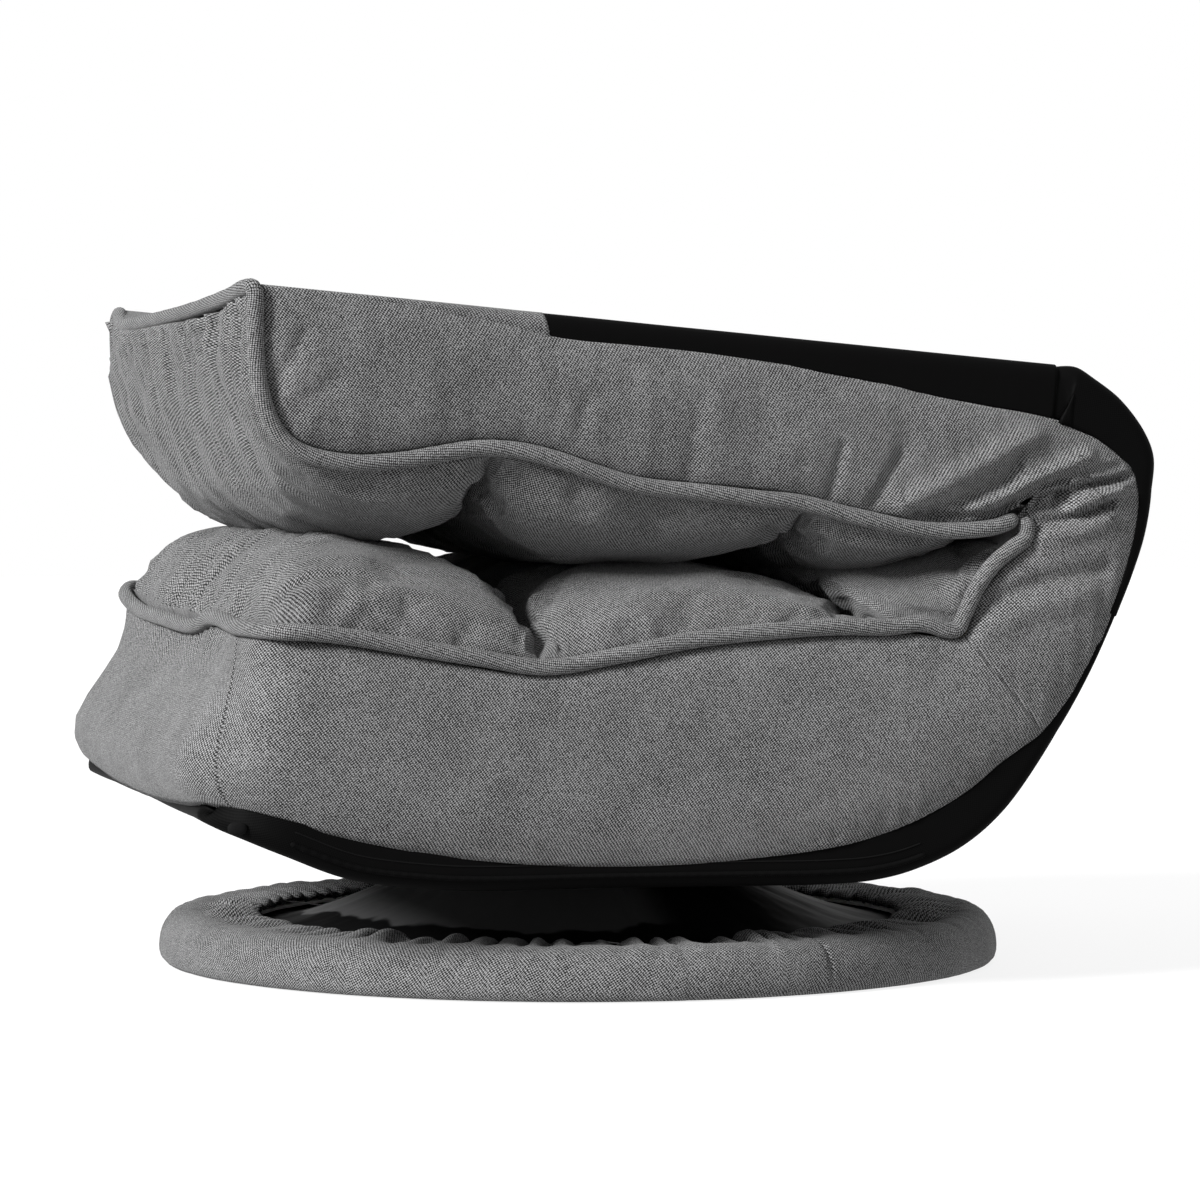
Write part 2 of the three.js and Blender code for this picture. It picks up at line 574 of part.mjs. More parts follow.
function seatFrame() {
  const run = offset(seatSkin, frameAbove);
  const end = run.findIndex((p) => p.y > HINGE.y - 62 && p.x > 0);
  const side = run.slice(3, end < 0 ? run.length : end).reverse();
  const bar = run[2].x;
  const bend = 55;
  const onRun = (x, y) => v3(x, y, heightAt(run, y));
  const left = side.filter((p) => p.x > bar + bend).map((p) => v3(seatTubeX, p.x, p.y));
  const corner = [onRun(seatTubeX - bend * 0.29, bar + bend * 0.29), onRun(seatTubeX - bend, bar)];
  const half = [...left, ...corner];
  const other = half.map((p) => v3(-p.x, p.y, p.z)).reverse();
  add('seat_frame_tube', tube([...half, ...other], TUBE, 52), paintedSteel);

  const centre = SEAT_BOTTOM + frameAbove;
  const reach = seatTubeX - TUBE - GAP;
  for (const [name, y] of [['front', -RAIL.y], ['rear', RAIL.y]]) {
    const holes = boltPlaces.filter((place) => place[1] === y)
      .map(([x]) => post(x, y, 0, centre + 2 * TUBE, BOLT.shank + HOLE_GAP));
    add(`seat_cross_tube_${name}`, cut(barX(-reach, reach, y, centre, TUBE), ...holes), paintedSteel);
  }
  boltPlaces.forEach(([x, y], i) => {
    const seat = SEAT_BOTTOM - GAP - PEDESTAL.wall - GAP;
    const long = centre + TUBE - 2 - seat;
    const bolt = headed(x, y, seat, BOLT.shank, long, BOLT.head, BOLT.headTall, false);
    add(`seat_bolt_${i + 1}`, bolt, plainSteel);
  });
}

// A sheet stretched over frame tubes, between two places along the skin
function sling(skin, from, to, half, side) {
  const first = frameAbove + TUBE + GAP;
  const rings = skin.map((p, i) => [p, normals(skin)[i]]).filter(([p]) => p.x > from && p.x < to);
  return shell(rings.map(([p, n]) => {
    const at = (x, deep) => v3(x, p.x + n.x * deep * side, p.y + n.y * deep * side);
    return {
      outer: [at(-half, first), at(half, first)],
      inner: [at(-half, first + SLING_WALL), at(half, first + SLING_WALL)],
    };
  }));
}

function seatSoft() {
  const slingTo = HINGE.x - 125;
  add('seat_sling', sling(seatSkin, SEAT_FRONT + 108, slingTo, seatTubeX + 4, 1), blackCloth);

  // Foam: between the sling and the pad, its front leaning like the boxing
  const floor = offset(seatSkin, frameAbove + TUBE + 2 * GAP + SLING_WALL + 0.4)
    .filter((p) => p.x > SEAT_FRONT + 26 && p.y < HINGE.y - 76);
  const ceiling = seatRows.map(({ seam, crown }) => {
    const up = crown.clone().sub(seam).normalize();
    return seam.clone().addScaledVector(up, -PAD_EDGE - GAP - 0.3);
  }).filter((p) => p.x > SEAT_FRONT + 53);
  const profile = plateX([...floor, ...ceiling.reverse()], -seatInside, seatInside);
  const plan = new THREE.Shape();
  const [w, front, r] = [seatInside - 0.2, SEAT_FRONT + 26, SEAT_CORNER + 15];
  plan.absarc(w - r, front + r, r, 0, -Math.PI / 2, true);
  plan.absarc(r - w, front + r, r, -Math.PI / 2, -Math.PI, true);
  plan.lineTo(-w, HINGE.x + 60);
  plan.lineTo(w, HINGE.x + 60);
  const column = new THREE.ExtrudeGeometry(plan, { depth: 300, bevelEnabled: false, curveSegments: 5 })
    .translate(0, 0, SEAT_BOTTOM);
  add('seat_foam', overlap(profile, column), paleFoam);

  const padCorner = SEAT_CORNER - 12;
  const padWidth = (seam) => HALF_WIDTH - PIPING - 1.5 - cornerInset(seam.x - seatSeam[0].x, padCorner);
  add('seat_pad', tuftedPad(seatRows, padWidth, 8), greyLinen);
}

// The boxing runs from one side of the hinge round the front to the other side.
function seatBoxing() {
  const tip = seatSkin.map((p, i) => p.clone().addScaledVector(seatInward[i], seatFlange(p) + 1.8));
  const low = (y) => heightAt(tip, y);
  const under = offset(seatSeam, -PIPING - 1.2).filter((p, i, all) => i === 0 || p.x > all[i - 1].x);
  const top = [...under, fromHinge(-4, -7), fromHinge(3, -7), fromHinge(24, -52), fromHinge(34, -64)];
  const high = (y) => Math.max(heightAt(top, y), low(y) + 3);
  const frontFace = SEAT_SEAM_FRONT - 21;
  const behind = [29, 19, 10, 3, -4, -12, -21, -29, -37, -45, -53, -61, -71, -87, -120];
  const ahead = [85, 40, 0, -40, -67, -95, SEAT_FRONT + 141, SEAT_FRONT + 96];
  const stops = [...behind.map((dy) => HINGE.x + dy), ...ahead];
  const side = stops.map((y) => ({ x: HALF_WIDTH, y, nx: 1, ny: 0 }));
  const corner = Array.from({ length: 6 }, (_, i) => {
    const angle = (Math.PI / 2) * (i / 5);
    const [c, s] = [Math.cos(angle), -Math.sin(angle)];
    const r = SEAT_CORNER;
    return { x: HALF_WIDTH - r + r * c, y: frontFace + r + r * s, nx: c, ny: s };
  });
  const half = [...side, ...corner, { x: 110, y: frontFace, nx: 0, ny: -1 }];
  const other = half.map((p) => ({ ...p, x: -p.x, nx: -p.nx })).reverse();
  // The front leans back towards its piping and bulges low down.
  const lean = (t) => 9 - 24 * t * t + 8 * Math.sin(Math.PI * t);
  const bulge = (t, frontness) => sideBulge(t) * (1 - frontness) + lean(t) * frontness;
  const middle = { x: 0, y: frontFace, nx: 0, ny: -1 };
  add('seat_boxing', band([...half, middle, ...other], low, high, bulge, PANEL_WALL, 3), greyLinen);
}

// Piping: up one side seam, across the end and back along the other side
function pipingAlong(seam, across, x) {
  const half = seam.map((p) => v3(x, p.x, p.y));
  const other = half.map((p) => v3(-p.x, p.y, p.z)).reverse();
  return [...half, ...across, ...other];
}

function seatTrim() {
  const holes = boltPlaces.map(([x, y]) => post(x, y, 0, seatLiningTop + 1, BOLT.shank + HOLE_GAP));
  add('seat_lining', cut(tray(seatSkin, seatInward, seatFlange, seatWidthAt), ...holes), blackCloth);

  const x = HALF_WIDTH - 1;
  const bend = SEAT_CORNER - 10;
  const side = seatSeam.filter((p, i) => p.x > SEAT_SEAM_FRONT + bend + 8 && i % 2 === 0).reverse();
  const z = seatSeam[0].y;
  const near = [v3(x, SEAT_SEAM_FRONT + bend, z), v3(x - bend * 0.29, SEAT_SEAM_FRONT + bend * 0.29, z),
    v3(x - bend, SEAT_SEAM_FRONT, z)];
  const far = near.map((p) => v3(-p.x, p.y, p.z)).reverse();
  const across = [...near, v3(0, SEAT_SEAM_FRONT, z + 3), ...far];
  add('seat_piping', tube(pipingAlong(side, across, x), PIPING, 60, 5), greyLinen);

  // The zip runs along the left flange of the lining.
  const zipLine = seatSkin.filter((p) => p.x > SEAT_FRONT + 40 && p.x < HINGE.x - 90);
  const path = zipLine.map((p) => ({ x: HALF_WIDTH + GAP, y: p.x, nx: 1, ny: 0 }));
  const onSkin = (y, up) => heightAt(seatSkin, y) + up;
  const flat = () => 1.2;
  add('seat_zip', band(path, (y) => onSkin(y, 5), (y) => onSkin(y, 10), flat, 1.2, 1), blackCloth);
  const slideY = zipLine[0].x + 6;
  const slideZ = onSkin(slideY, 7.5);
  const outside = HALF_WIDTH + 2 * GAP + 1.2;
  add('seat_zip_slider', block(outside, outside + 2.4, slideY - 6, slideY + 6, slideZ - 3, slideZ + 3),
    plainSteel);
}

// Back

const backTubeX = ARM.x - GAP - TUBE;
const backInward = backSkin.map(() => v2(-BACK_SLOPE, -1).normalize());
const backFlangeDepths = [v2(BACK_FREE_END, 6), v2(PATCH_START, 12), v2(6, 13), v2(HINGE.x - 141, 17),
  v2(HINGE.x - 49, 27), v2(HINGE.x + 3, 34)];
const backFlange = (p) => heightAt(backFlangeDepths, p.x);
const backRows = padRows(backPadRows, 34);
const backSeam = backRows.map((row) => row.seam);

function backFrame() {
  const n = backInward[0];
  const centreAt = (y) => v2(y + n.x * frameAbove, backFaceAt(y) + n.y * frameAbove);
  const start = centreAt(HINGE.x - 49);
  const bar = centreAt(BACK_FREE_END + 30);
  const bend = 60;
  const straight = [start, centreAt(HINGE.x - 110), centreAt(0), centreAt(BACK_FREE_END + 120)];
  const half = [
    ...straight.map((p) => v3(backTubeX, p.x, p.y)),
    v3(backTubeX, bar.x + bend, centreAt(bar.x + bend).y),
    v3(backTubeX - bend * 0.29, bar.x + bend * 0.29, centreAt(bar.x + bend * 0.29).y),
    v3(backTubeX - bend, bar.x, bar.y),
  ];
  const other = half.map((p) => v3(-p.x, p.y, p.z)).reverse();
  add('back_frame_tube', tube([...half, ...other], TUBE, 44), paintedSteel);
  const middle = centreAt(20);
  const reach = backTubeX - TUBE - GAP;
  add('back_cross_tube', barX(-reach, reach, middle.x, middle.y, TUBE), paintedSteel);
}

function backSoft() {
  const slingSkin = backSkinBetween(BACK_FREE_END, BACK_SKIN_START, 16);
  add('back_sling', sling(slingSkin, BACK_FREE_END + 40, HINGE.x - 70, backTubeX + 4, -1), blackCloth);
  const deep = frameAbove + TUBE + 2 * GAP + SLING_WALL + 0.4;
  const ceiling = backSkin.map((p) => p.clone().addScaledVector(backInward[0], deep))
    .filter((p) => p.x < HINGE.x - 55 && p.x > BACK_FREE_END + 22);
  const floor = backRows.map(({ seam, crown }) => {
    const out = crown.clone().sub(seam).normalize();
    return seam.clone().addScaledVector(out, -PAD_EDGE - GAP - 0.3);
  }).filter((p) => p.x < HINGE.x - 55 && p.y < ceiling[ceiling.length - 1].y - 4);
  add('back_foam', plateX([...ceiling, ...floor.reverse()], -seatInside, seatInside), paleFoam);
  add('back_pad', tuftedPad(backRows, () => HALF_WIDTH - PIPING - 1.5, 8), greyLinen);
}

function backShell() {
  const width = () => HALF_WIDTH;
  const black = backSkinBetween(BACK_SKIN_START, PATCH_START, 10);
  const grey = backSkinBetween(PATCH_START - GAP, BACK_FREE_END + 4, 6);
  const inwardOf = (line) => line.map(() => backInward[0]);
  add('back_lining', tray(black, inwardOf(black), backFlange, width), blackCloth);
  add('back_head_patch', tray(grey, inwardOf(grey), backFlange, width), greyLinen);

  const tip = backSkin.map((p) => p.clone().addScaledVector(backInward[0], backFlange(p) + 0.5));
  const high = (y) => heightAt(tip, y);
  const above = offset(backSeam, -PIPING - 1.2)
    .filter((p, i, all) => p.x < HINGE.x - 48 && (i === 0 || p.x < all[i - 1].x));
  const bottom = [...above, fromHinge(-40, -28), fromHinge(-1, 3)]
    .sort((a, b) => a.x - b.x);
  const low = (y) => Math.min(heightAt(bottom, y), high(y) - 3);
  const behind = [-3, -11, -22, -32, -40, -49, -67, -87, -117, -142].map((dy) => HINGE.x + dy);
  const middle = [tuftD, tuftD - 24, tuftD - 54, tuftC + 73, tuftC + 37, tuftC + 13, tuftC, tuftC - 22];
  const ahead = [92, 57, 37, 22, 14, 9].map((dy) => BACK_FREE_END + dy);
  const stops = [...behind, ...middle, ...ahead];
  const path = stops.map((y) => ({ x: HALF_WIDTH, y, nx: 1, ny: 0 }));
  addPair('back_side_panel', band(path, low, high, sideBulge, PANEL_WALL, 3), greyLinen);

  const x = HALF_WIDTH - 1;
  const side = backSeam.filter((p, i) => i % 2 === 0);
  const top = side[side.length - 1];
  const edge = top.y + PIPING + 3;
  const near = [v3(x - 3, top.x, edge - 1.5), v3(x - 14, top.x, edge)];
  const far = near.map((p) => v3(-p.x, p.y, p.z)).reverse();
  const across = [...near, v3(0, top.x, edge), ...far];
  add('back_piping', tube(pipingAlong(side, across, x), PIPING, 60, 5), greyLinen);
}

// Hinge hardware, modelled for the left side and mirrored

const polar = (angle, radius) => {
  const a = THREE.MathUtils.degToRad(angle);
  return fromHinge(radius * Math.cos(a), radius * Math.sin(a));
};

function hinge() {
  // Back arm: a toothed disc, then a strap that reaches along the back tube.
  // The blank part of the rim faces the pawl while the chair is folded.
  const rim = [];
  const { root, tip, teeth, pitch, first } = RATCHET;
  const pawlAngle = 270;
  for (let i = 0; i < teeth; i += 1) {
    const at = pawlAngle + first + i * pitch;
    rim.push(polar(at - 3, root), polar(at - 1, tip), polar(at + 0.5, tip), polar(at + 1.5, root));
  }
  const last = pawlAngle + first + teeth * pitch;
  for (let angle = last; angle < pawlAngle + first + 350; angle += 20) rim.push(polar(angle, root));
  const disc = plateX(rim, ARM.x, ARM.x + ARM.wall);
  const n = backInward[0];
  const tubeLine = (y, side) => v2(y, backFaceAt(y)).addScaledVector(n, frameAbove + side);
  const strap = plateX([polar(160, 14), tubeLine(HINGE.x - 62, ARM.width),
    tubeLine(HINGE.x - 110, ARM.width), tubeLine(HINGE.x - 110, -ARM.width),
    tubeLine(HINGE.x - 45, -ARM.width), polar(70, 14)], ARM.x, ARM.x + ARM.wall);
  const pinHole = barX(ARM.x - 20, ARM.x + 40, HINGE.x, HINGE.y, PIN.radius + HOLE_GAP, 16);
  addPair('hinge_back_arm', cut(join(disc, strap), pinHole), plainSteel);

  // Seat plate: round at the hinge, down to the upright end of the seat tube, with the pawl's stud
  const x = ARM.x + ARM.wall + GAP;
  const run = offset(seatSkin, frameAbove);
  const upright = run.filter((p) => p.y > HINGE.y - 120 && p.y < HINGE.y - 60);
  const low = upright[0];
  const high = upright[upright.length - 1];
  const along = high.clone().sub(low).normalize();
  const across = v2(-along.y, along.x);
  const edge = (p, side) => p.clone().addScaledVector(across, side * CHEEK.width);
  const pawlPivot = fromHinge(-22, -34);
  const eye = plateX(Array.from({ length: 18 }, (_, i) => polar(i * 20, 17)), x, x + CHEEK.wall);
  const leg = plateX([polar(200, 15), edge(high, 1), edge(low, 1), edge(low, -1), edge(high, -1),
    polar(-10, 17)], x, x + CHEEK.wall);
  const ear = plateX([polar(180, 16), v2(pawlPivot.x - 7, pawlPivot.y), v2(pawlPivot.x - 4, pawlPivot.y - 7),
    v2(pawlPivot.x + 6, pawlPivot.y - 7), polar(268, 17)], x, x + CHEEK.wall);
  const stud = barX(ARM.x + 0.2, x + 0.5, pawlPivot.x, pawlPivot.y, PAWL.bore - HOLE_GAP);
  addPair('hinge_seat_plate', cut(join(eye, leg, ear, stud), pinHole), paintedSteel);

  // Pin: one head inside the ratchet disc, the other outside the seat plate
  const inside = ARM.x - GAP;
  const outside = x + CHEEK.wall + GAP;
  const pin = turned([[0, inside - PIN.headTall], [PIN.head, inside - PIN.headTall], [PIN.head, inside],
    [PIN.radius, inside], [PIN.radius, outside], [PIN.head, outside], [PIN.head, outside + PIN.headTall],
    [0, outside + PIN.headTall]], 16);
  addPair('hinge_pin', facingOut(pin.rotateY(Math.PI / 2).translate(0, HINGE.x, HINGE.y)), plainSteel);

  // Pawl, lifted clear of the teeth
  const reach = polar(pawlAngle, root + 1.3).sub(pawlPivot);
  const turnBack = THREE.MathUtils.degToRad(-PAWL.lifted);
  const lifted = (p) => p.clone().rotateAround(v2(0, 0), turnBack).add(pawlPivot);
  const outline = [v2(-3, 4.5), v2(4, 4.2), v2(reach.x - 3.2, reach.y - 3.8), v2(reach.x - 1, reach.y),
    v2(reach.x + 0.6, reach.y - 0.2), v2(reach.x + 1.2, reach.y - 5), v2(5, -4.6), v2(-2, -5), v2(-5.4, -1)];
  const bore = barX(ARM.x - 5, ARM.x + 10, pawlPivot.x, pawlPivot.y, PAWL.bore, 14);
  const pawl = plateX(outline.map(lifted), ARM.x + 0.4, ARM.x + ARM.wall - 0.2);
  addPair('hinge_pawl', cut(pawl, bore), plainSteel);

  // Leaf spring under the pawl, its foot against the seat plate
  const under = lifted(v2(5, -4.6));
  const tipUnder = lifted(v2(reach.x + 1.2, reach.y - 5));
  const drop = 0.5;
  const leaf = plateX([v2(under.x + 2, under.y - drop), v2(tipUnder.x - 1, tipUnder.y - drop),
    v2(tipUnder.x - 1, tipUnder.y - drop - 1), v2(under.x + 2, under.y - drop - 1)],
  ARM.x + 0.6, ARM.x + ARM.wall);
  addPair('hinge_pawl_spring', leaf, plainSteel);
}

// Fabric that turns with the hinge: the outer wrap, and a gusset in the crease
function hingeCover() {
  const start = seatSkin[seatSkin.length - 1];
  const path = smooth([start, fromHinge(47, -33), fromHinge(52, -4), fromHinge(42, 20),
    fromHinge(25, 39), fromHinge(BACK_SKIN_START - HINGE.x, WRAP_RADIUS)], 12);
  path[0].lerp(path[1], 0.06);
  path[path.length - 1].lerp(path[path.length - 2], 0.06);
  const toHinge = path.map((p) => HINGE.clone().sub(p).normalize());
  const width = () => HALF_WIDTH;
  const wrap = tray(path, toHinge, (p) => p.distanceTo(HINGE) - 13, width);
  add('hinge_wrap', wrap, blackCloth);
  const low = fromHinge(-42.5, -51.3);
  const high = fromHinge(-30, -38);
  const along = high.clone().sub(low).normalize();
  const side = v2(-along.y, along.x);
  const gusset = [low, high, high.clone().addScaledVector(side, 2), low.clone().addScaledVector(side, 2)];
  add('hinge_gusset', plateX(gusset, 20 - HALF_WIDTH, HALF_WIDTH - 20), greyLinen);
}

baseRing();
baseCover();
baseRails();
swivelBearing();
dustSheet();
seatFrame();
seatSoft();
seatBoxing();
seatTrim();
backFrame();
backSoft();
backShell();
hinge();
hingeCover();

export default chair;
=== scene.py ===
import math

import bpy
import numpy as np
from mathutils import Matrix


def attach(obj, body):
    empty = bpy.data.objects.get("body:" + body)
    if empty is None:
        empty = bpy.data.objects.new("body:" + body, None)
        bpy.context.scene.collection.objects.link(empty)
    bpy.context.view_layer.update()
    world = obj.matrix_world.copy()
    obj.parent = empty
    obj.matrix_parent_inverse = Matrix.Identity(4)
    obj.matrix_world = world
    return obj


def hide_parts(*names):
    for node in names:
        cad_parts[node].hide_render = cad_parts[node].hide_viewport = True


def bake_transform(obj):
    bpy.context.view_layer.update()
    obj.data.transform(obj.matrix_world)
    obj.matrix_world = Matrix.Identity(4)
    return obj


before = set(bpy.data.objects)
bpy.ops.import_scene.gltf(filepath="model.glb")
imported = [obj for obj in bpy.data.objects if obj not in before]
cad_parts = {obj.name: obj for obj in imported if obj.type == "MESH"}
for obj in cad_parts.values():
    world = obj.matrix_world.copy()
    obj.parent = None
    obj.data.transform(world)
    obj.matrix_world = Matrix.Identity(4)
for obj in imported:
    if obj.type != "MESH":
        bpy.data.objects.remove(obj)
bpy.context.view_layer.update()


# The camera stands at the photograph's viewing angle: about 3 m from the chair's side, 14 degrees
# towards its front, and 320 mm above the floor.
def added(name, data):
    """A new object in the scene."""
    made = bpy.data.objects.new(name, data)
    bpy.context.scene.collection.objects.link(made)
    return made


camera = added("camera", bpy.data.cameras.new("camera"))
camera.location = (3.0 * math.cos(math.radians(14)), -3.0 * math.sin(math.radians(14)), 0.320)
camera.rotation_euler = (math.radians(90 - 1.807), 0, math.radians(75.735))
camera.data.lens = 142.6
camera.data.sensor_width = 36
bpy.context.scene.camera = camera
bpy.context.scene.view_settings.view_transform = "Standard"

# A pale studio: a white sky and one wide soft lamp far off, high in front of the chair, so that
# its front is the brightest side and the folds of its flank throw soft shadows.
sky = bpy.data.worlds.new("studio")
sky.use_nodes = True
sky.node_tree.nodes["Background"].inputs["Color"].default_value = (1, 1, 1, 1)
sky.node_tree.nodes["Background"].inputs["Strength"].default_value = 1.0
bpy.context.scene.world = sky
lamp = added("front_lamp", bpy.data.lights.new("front_lamp", "SUN"))
lamp.data.energy = 9.5
lamp.data.angle = math.radians(17)
lamp_way = np.array([0.36, -0.80, 0.48])
lamp.rotation_euler = (math.acos(lamp_way[2]), 0, math.atan2(lamp_way[0], -lamp_way[1]))


# Base ring cover: one tube of heathered linen sewn round the foam covered steel ring, its inner
# edge drawn up on an elastic, so that it gathers in small sharp ruffles all the way round.
class Value:
    """A number or colour that may change over a surface: sums on it add Math nodes."""

    def __init__(self, finish, socket):
        self.finish = finish
        self.socket = socket

    def sum(self, operation, *others):
        places = dict(enumerate(others))
        return self.finish.node("ShaderNodeMath", {"operation": operation}, places)

    def __add__(self, other):
        return self.sum("ADD", self, other)

    def __sub__(self, other):
        return self.sum("SUBTRACT", self, other)

    def __rsub__(self, other):
        return self.sum("SUBTRACT", other, self)

    def __mul__(self, other):
        return self.sum("MULTIPLY", self, other)

    def __pow__(self, other):
        return self.sum("POWER", self, other)

    def __abs__(self):
        return self.sum("ABSOLUTE", self)

    def sine(self):
        return self.sum("SINE", self)

    def whole(self):
        return self.sum("FLOOR", self)

    def between(self, low, high):
        """0 at low, 1 at high, with a smooth step from one to the other."""
        return self.finish.node("ShaderNodeMapRange", {"interpolation_type": "SMOOTHSTEP"},
                                {"Value": self, "From Min": low, "From Max": high})

    __radd__ = __add__
    __rmul__ = __mul__


class Finish:
    """One material. node() adds a shader node from its type, its settings and its inputs."""

    def __init__(self, name):
        self.material = bpy.data.materials.new(name)
        self.material.use_nodes = True
        self.nodes = self.material.node_tree.nodes
        self.face = self.nodes["Principled BSDF"]

    def put(self, socket, value):
        if isinstance(value, Value):
            self.material.node_tree.links.new(value.socket, socket)
        else:
            socket.default_value = value

    def node(self, kind, settings=None, inputs=None, output=0):
        made = self.nodes.new(kind)
        for key, setting in (settings or {}).items():
            setattr(made, key, setting)
        for key, value in (inputs or {}).items():
            self.put(made.inputs[key], value)
        return Value(self, made.outputs[output])

    def wear(self, **inputs):
        """Puts values on the surface shader; a name's underlines stand for spaces."""
        for key, value in inputs.items():
            self.put(self.face.inputs[key.replace("_", " ")], value)
        return self.material

    def place(self):
        return self.node("ShaderNodeTexCoord", output=3)

    def cloth(self):
        return self.node("ShaderNodeUVMap", {"uv_map": "cloth"})

    def parts(self, vector):
        split = self.node("ShaderNodeSeparateXYZ", inputs={"Vector": vector})
        return [Value(self, socket) for socket in split.socket.node.outputs]

    def joined(self, x, y, z=0.0):
        return self.node("ShaderNodeCombineXYZ", inputs={"X": x, "Y": y, "Z": z})

    def noise(self, vector, scale, detail=2.0, rough=0.5):
        return self.node("ShaderNodeTexNoise", inputs={
            "Vector": vector, "Scale": scale, "Detail": detail, "Roughness": rough})

    def mixed(self, share, first, second):
        settings = {"data_type": "RGBA"}
        return self.node("ShaderNodeMix", settings, {0: share, 6: first, 7: second}, output=2)

    def bump(self, height, depth, strength):
        return self.node("ShaderNodeBump", inputs={
            "Height": height, "Distance": depth, "Strength": strength})


def grey(level):
    return (level, level, level * 1.01, 1)


def linen(name, dark, light, pitch=0.00098):
    """Plain weave: sin(pi x) sin(pi y) is above 0 where the pale warp lies on top and below 0 where
    the dark weft does; x leans a little with y, so that the flecks line up aslant. Every yarn has
    its own shade, which drifts along it, and slubs shift the weave and darken single flecks."""
    made = Finish(name)
    u, v, _ = made.parts(made.cloth())
    slub = made.noise(made.joined(u, v), 26.0, 1.0)
    y = v * (0.1 / pitch) + slub * 0.7
    x = u * (0.1 / pitch) + y * 0.3 + made.noise(made.joined(v, u, 4.0), 21.0, 1.0) * 0.7
    over = (x * math.pi).sine() * (y * math.pi).sine()
    warp = made.noise(made.joined(x.whole() * 7.31, y * 0.16), 1.0, 1.0)
    weft = made.noise(made.joined(x * 0.16, y.whole() * 5.17, 9.0), 1.0, 1.0)
    cloud = made.noise(made.joined(u, v), 2.6, 3.0)
    fleck = made.noise(made.joined(x * 1.1, y * 1.1, 2.0), 1.0, 0.0)
    yarns = (warp - 0.5) * 0.5 + (weft - 0.5) * 0.4 + (cloud - 0.5) * 0.3
    lit = over.between(-0.3, 0.75) * 0.92 + (fleck - 0.5) * 1.2 + yarns + 0.04
    colour = made.mixed(lit, grey(dark), grey(light))
    normal = made.bump(abs(over) ** 0.6, 0.0004, 0.5)
    return made.wear(Base_Color=colour, Roughness=0.95, Normal=normal, Sheen_Weight=0.06,
                     Sheen_Roughness=0.5, Specular_IOR_Level=0.1)


heather = linen("grey_linen", 0.003, 0.186)


def gone(path):
    """Distance gone along a path, from its first place to each place on it."""
    return np.append(0, np.cumsum(np.linalg.norm(np.diff(path, axis=0), axis=1)))


def spline(points, count, even=3):
    """Smooth line through points, a cubic between each two neighbours with the slope of their own
    neighbours' chord, as count places evenly spaced along its length (or at the given shares). The
    length is that of the first even columns."""
    p = np.asarray(points, float)
    s = np.append(0, np.cumsum(np.sqrt(np.linalg.norm(np.diff(p[:, :even], axis=0), axis=1))))
    slope = np.gradient(p, s, axis=0)
    t = np.linspace(0, s[-1], 40 * len(p))
    k = np.clip(np.searchsorted(s, t, side="right") - 1, 0, len(p) - 2)
    h = (s[k + 1] - s[k])[:, None]
    u = (t - s[k])[:, None] / h
    fine = ((2 * u**3 - 3 * u**2 + 1) * p[k] + (u**3 - 2 * u**2 + u) * h * slope[k]
            + (3 * u**2 - 2 * u**3) * p[k + 1] + (u**3 - u**2) * h * slope[k + 1])
    length = gone(fine[:, :even])
    shares = np.linspace(0, 1, count) if np.isscalar(count) else count
    return np.stack([np.interp(shares * length[-1], length, fine[:, c])
                     for c in range(p.shape[1])], axis=1)


def ripple(a, b, seed):
    """Smooth random heights from -1 to 1: a sum of sines of a and b with seeded directions and
    phases, in three octaves, each twice as fine and 0.55 times as high."""
    chance = np.random.default_rng(seed)
    total = np.zeros(np.broadcast(a, b).shape)
    size = 1.0
    for octave in range(3):
        for way, phase in chance.uniform(0, 2 * np.pi, (4, 2)):
            turn = (np.cos(way) * a + np.sin(way) * b) * 2.0**octave
            total = total + size * np.sin(turn * chance.uniform(0.75, 1.3) + phase)
        size *= 0.55
    return total / 4.0


def ramp(value, start, end):
    """0 before start, 1 past end, and a straight slope between the two."""
    return np.clip((value - start) / (end - start), 0, 1)


def hump(far, wide):
    """Bell of height 1: e to the power of -(far / wide)^2."""
    return np.exp(-((far / wide) ** 2))


def surface(x, y, z):
    """Grid of places from x, y and z, each given over the whole grid or along one way of it."""
    return np.stack(np.broadcast_arrays(x, y, z), axis=2)


def cells(at):
    """Four sided faces between the rows and columns of a grid of place numbers."""
    return np.stack([at[:-1, :-1], at[1:, :-1], at[1:, 1:], at[:-1, 1:]], -1).reshape(-1, 4)


def made_mesh(name, places, faces, cloth):
    """Mesh of four sided faces from places in millimetres, turned so that it encloses a volume
    above nothing, with its cloth map in decimetres."""
    p = places[faces]
    volume = np.einsum("ij,ij->", p[:, 0], np.cross(p[:, 1], p[:, 2]) + np.cross(p[:, 2], p[:, 3]))
    if volume < 0:
        faces = faces[:, ::-1]
        cloth = cloth[:, ::-1]
    mesh = bpy.data.meshes.new(name)
    mesh.from_pydata(places * 0.001, [], faces)
    mesh.uv_layers.new(name="cloth").data.foreach_set("uv", cloth.astype(np.float32).ravel())
    mesh.shade_smooth()
    return added(name, mesh)


def lengths(grid):
    """Lengths along the rows and the columns of a grid, in decimetres: how its cloth was cut."""
    along = np.linalg.norm(np.diff(grid, axis=0), axis=2).mean(axis=1)
    across = np.linalg.norm(np.diff(grid, axis=1), axis=2)
    u = np.append(0, np.cumsum(along))[:, None] + np.zeros(grid.shape[1])
    v = np.concatenate([np.zeros((len(grid), 1)), np.cumsum(across, axis=1)], axis=1)
    return np.stack([u, v - v[:, -1:] / 2], axis=2) * 0.01


